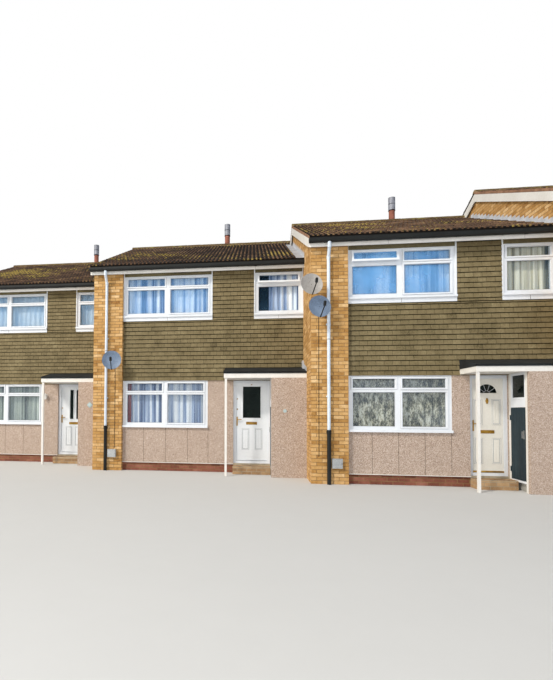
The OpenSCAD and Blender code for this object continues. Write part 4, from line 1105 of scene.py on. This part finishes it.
# The doors that stay shut: house D's front door, the rear doors and the stores' doors
fixed, boards, plates = Pieces(), Pieces(), Pieces()
for a, b in ((3760, 3930), (4040, 4210)):
    for low, high in ((480, 1040), (1340, 2060)):
        panel(fixed, LAST, a, low, b, high)
plates.box(LAST, (3640, 84, 1150), (3665, DOOR_FACE, 1350))
plates.tube(at(LAST), (3652, 84, 1290), (3652, 50, 1290), 9, 10)
plates.box(LAST, (3644, 42, 1281), (3760, 56, 1299))
BOARDS = range(5)
for i in HOUSES:
    x = REAR_DOOR_X[i]
    for a, b in ((x + 150, x + 400), (x + 480, x + 730)):
        panel(fixed, i, a, 480, b, 1040, True)
        panel(fixed, i, a, 1220, b, 2060, True)
    plates.box(i, (x + 70, 84, 1150), (x + 95, DOOR_FACE, 1350), True)
    plates.box(i, (x + 72, 48, 1281), (x + 190, 60, 1299), True)
    plates.box(i, (x + 74, 58, 1283), (x + 90, 86, 1297), True)
    if i != 2:
        x = STORE_X[i]
        for k in BOARDS:
            y = -562 + k * 100
            boards.box(i, (x - 2.4, y + 2, 208), (x + 0.5, y + 97, 1597))
        plates.box(i, (x - 8, -520, 1000), (x + 0.5, -490, 1160))
        plates.box(i, (x - 34, -512, 1020), (x - 24, -498, 1140))
        for z in (1030, 1120):
            plates.box(i, (x - 26, -510, z), (x - 6, -500, z + 12))
fixed.make("shut_door_panels", "painted_door", skin=True)
# The shut doors' panel lines are painted shade, in the joints' dark colour
moulding_shade[LAST].make("shut_door_panel_lines", "joint_and_shade_line")
boards.make("store_door_boards", "painted_door", skin=True)
plates.make("shut_door_handles", "steel", skin=True)
leaf_boards = Pieces()
for k in BOARDS:
    y = -555 + k * 97
    leaf_boards.box(2, (STORE_X[2] - 2.4, y + 2, 214), (STORE_X[2] + 0.5, y + 93, 1591))
leaf_boards.make("store_door_c_boards", "green_paint", "store_door_c", True)

# The stores' side windows: their rims, and a dark sheet behind them as painted shade of the unlit
# store
panes, rims = Pieces(), Pieces()
for i in HOUSES:
    x = STORE_X[i]
    panes.box(i, (x + 22, -562, 1752), (x + 24.5, -63, 2262))
    for a, b, c, d in ((-562, 1752, -517, 2262), (-108, 1752, -63, 2262),
                       (-517, 2217, -108, 2262), (-517, 1752, -108, 1790)):
        rims.box(i, (x + 6, a, b), (x + 21.5, c, d))
rims.make("store_window_rims", "white_upvc", skin=True)
panes.make("store_window_film", "door_glass", skin=True)

# Brick skins of the doorsteps: front and side courses, and bricks laid flat on each tread
TREAD = 300
treads = []
for i in HOUSES:
    foot = -ORIGIN[i][2]
    for k in range(int(UP[i] / 200) + 1):
        y, z = -(k + 1) * TREAD, 185 - 200 * k
        for rear in (False, True):
            a, wide = (REAR_DOOR_X[i], REAR_DOOR) if rear else (DOOR_X[i], DOOR_W[i])
            facing, back, way = (REAR, DEEP - y, -1) if rear else (FRONT, y, 1)
            place = (a + wide if rear else a, back)
            treads += bricks(i, facing, place, box_shape(0, foot, wide, z - 4))
            x0, y0, z0 = ORIGIN[i][0] + place[0], ORIGIN[i][1] + back, -foot
            flat = courses(box_shape(0, 0, wide, TREAD - 4), BRICK_W + JOINT, 99, JOINT, 0)
            for left, low, right, high in flat:
                p = Vector((x0 + way * left, y0 + way * low, z0 + z)) * MM
                size = ((right - left) / BRICK_W, 1, (high - low) / BRICK_H)
                treads.append((p, (-pi / 2, 0, facing), size))
            end = box_shape(0, foot, TREAD, z - 4) if rear else box_shape(-TREAD, foot, 0, z - 4)
            treads += bricks(i, LEFT, (a, back), end)
laid("doorstep_bricks", brick, treads, "step_brick", 0.004, 13)

# Meter box doors and latches, and the blank plaques by two doors
doors, latches, plaques = (Pieces() for _ in range(3))
for i in HOUSES:
    doors.ring(i, 412, 332, 618, 528, 12, -174, -169.5, 2)
    doors.ring(i, 430, 350, 600, 510, 84, -173, -169.5, 3)
    latches.tube(at(i), (600, -172, 430), (600, -177, 430), 7, 10)
doors.make("meter_box_doors", "meter_plastic", skin=True)
latches.make("meter_box_latches", "black_plastic")
for i, x, z, r, sides in ((0, 4700, 1642, 84, 4), (1, 4736, 1507, 40, 20)):
    plaques.lathe([(r, 0), (r, 6), (r - 7 - (r > 50), 9)], at(i, x, -700, z) @ TURN, sides)
plaques.make("wall_plaques", "plaque_blue")
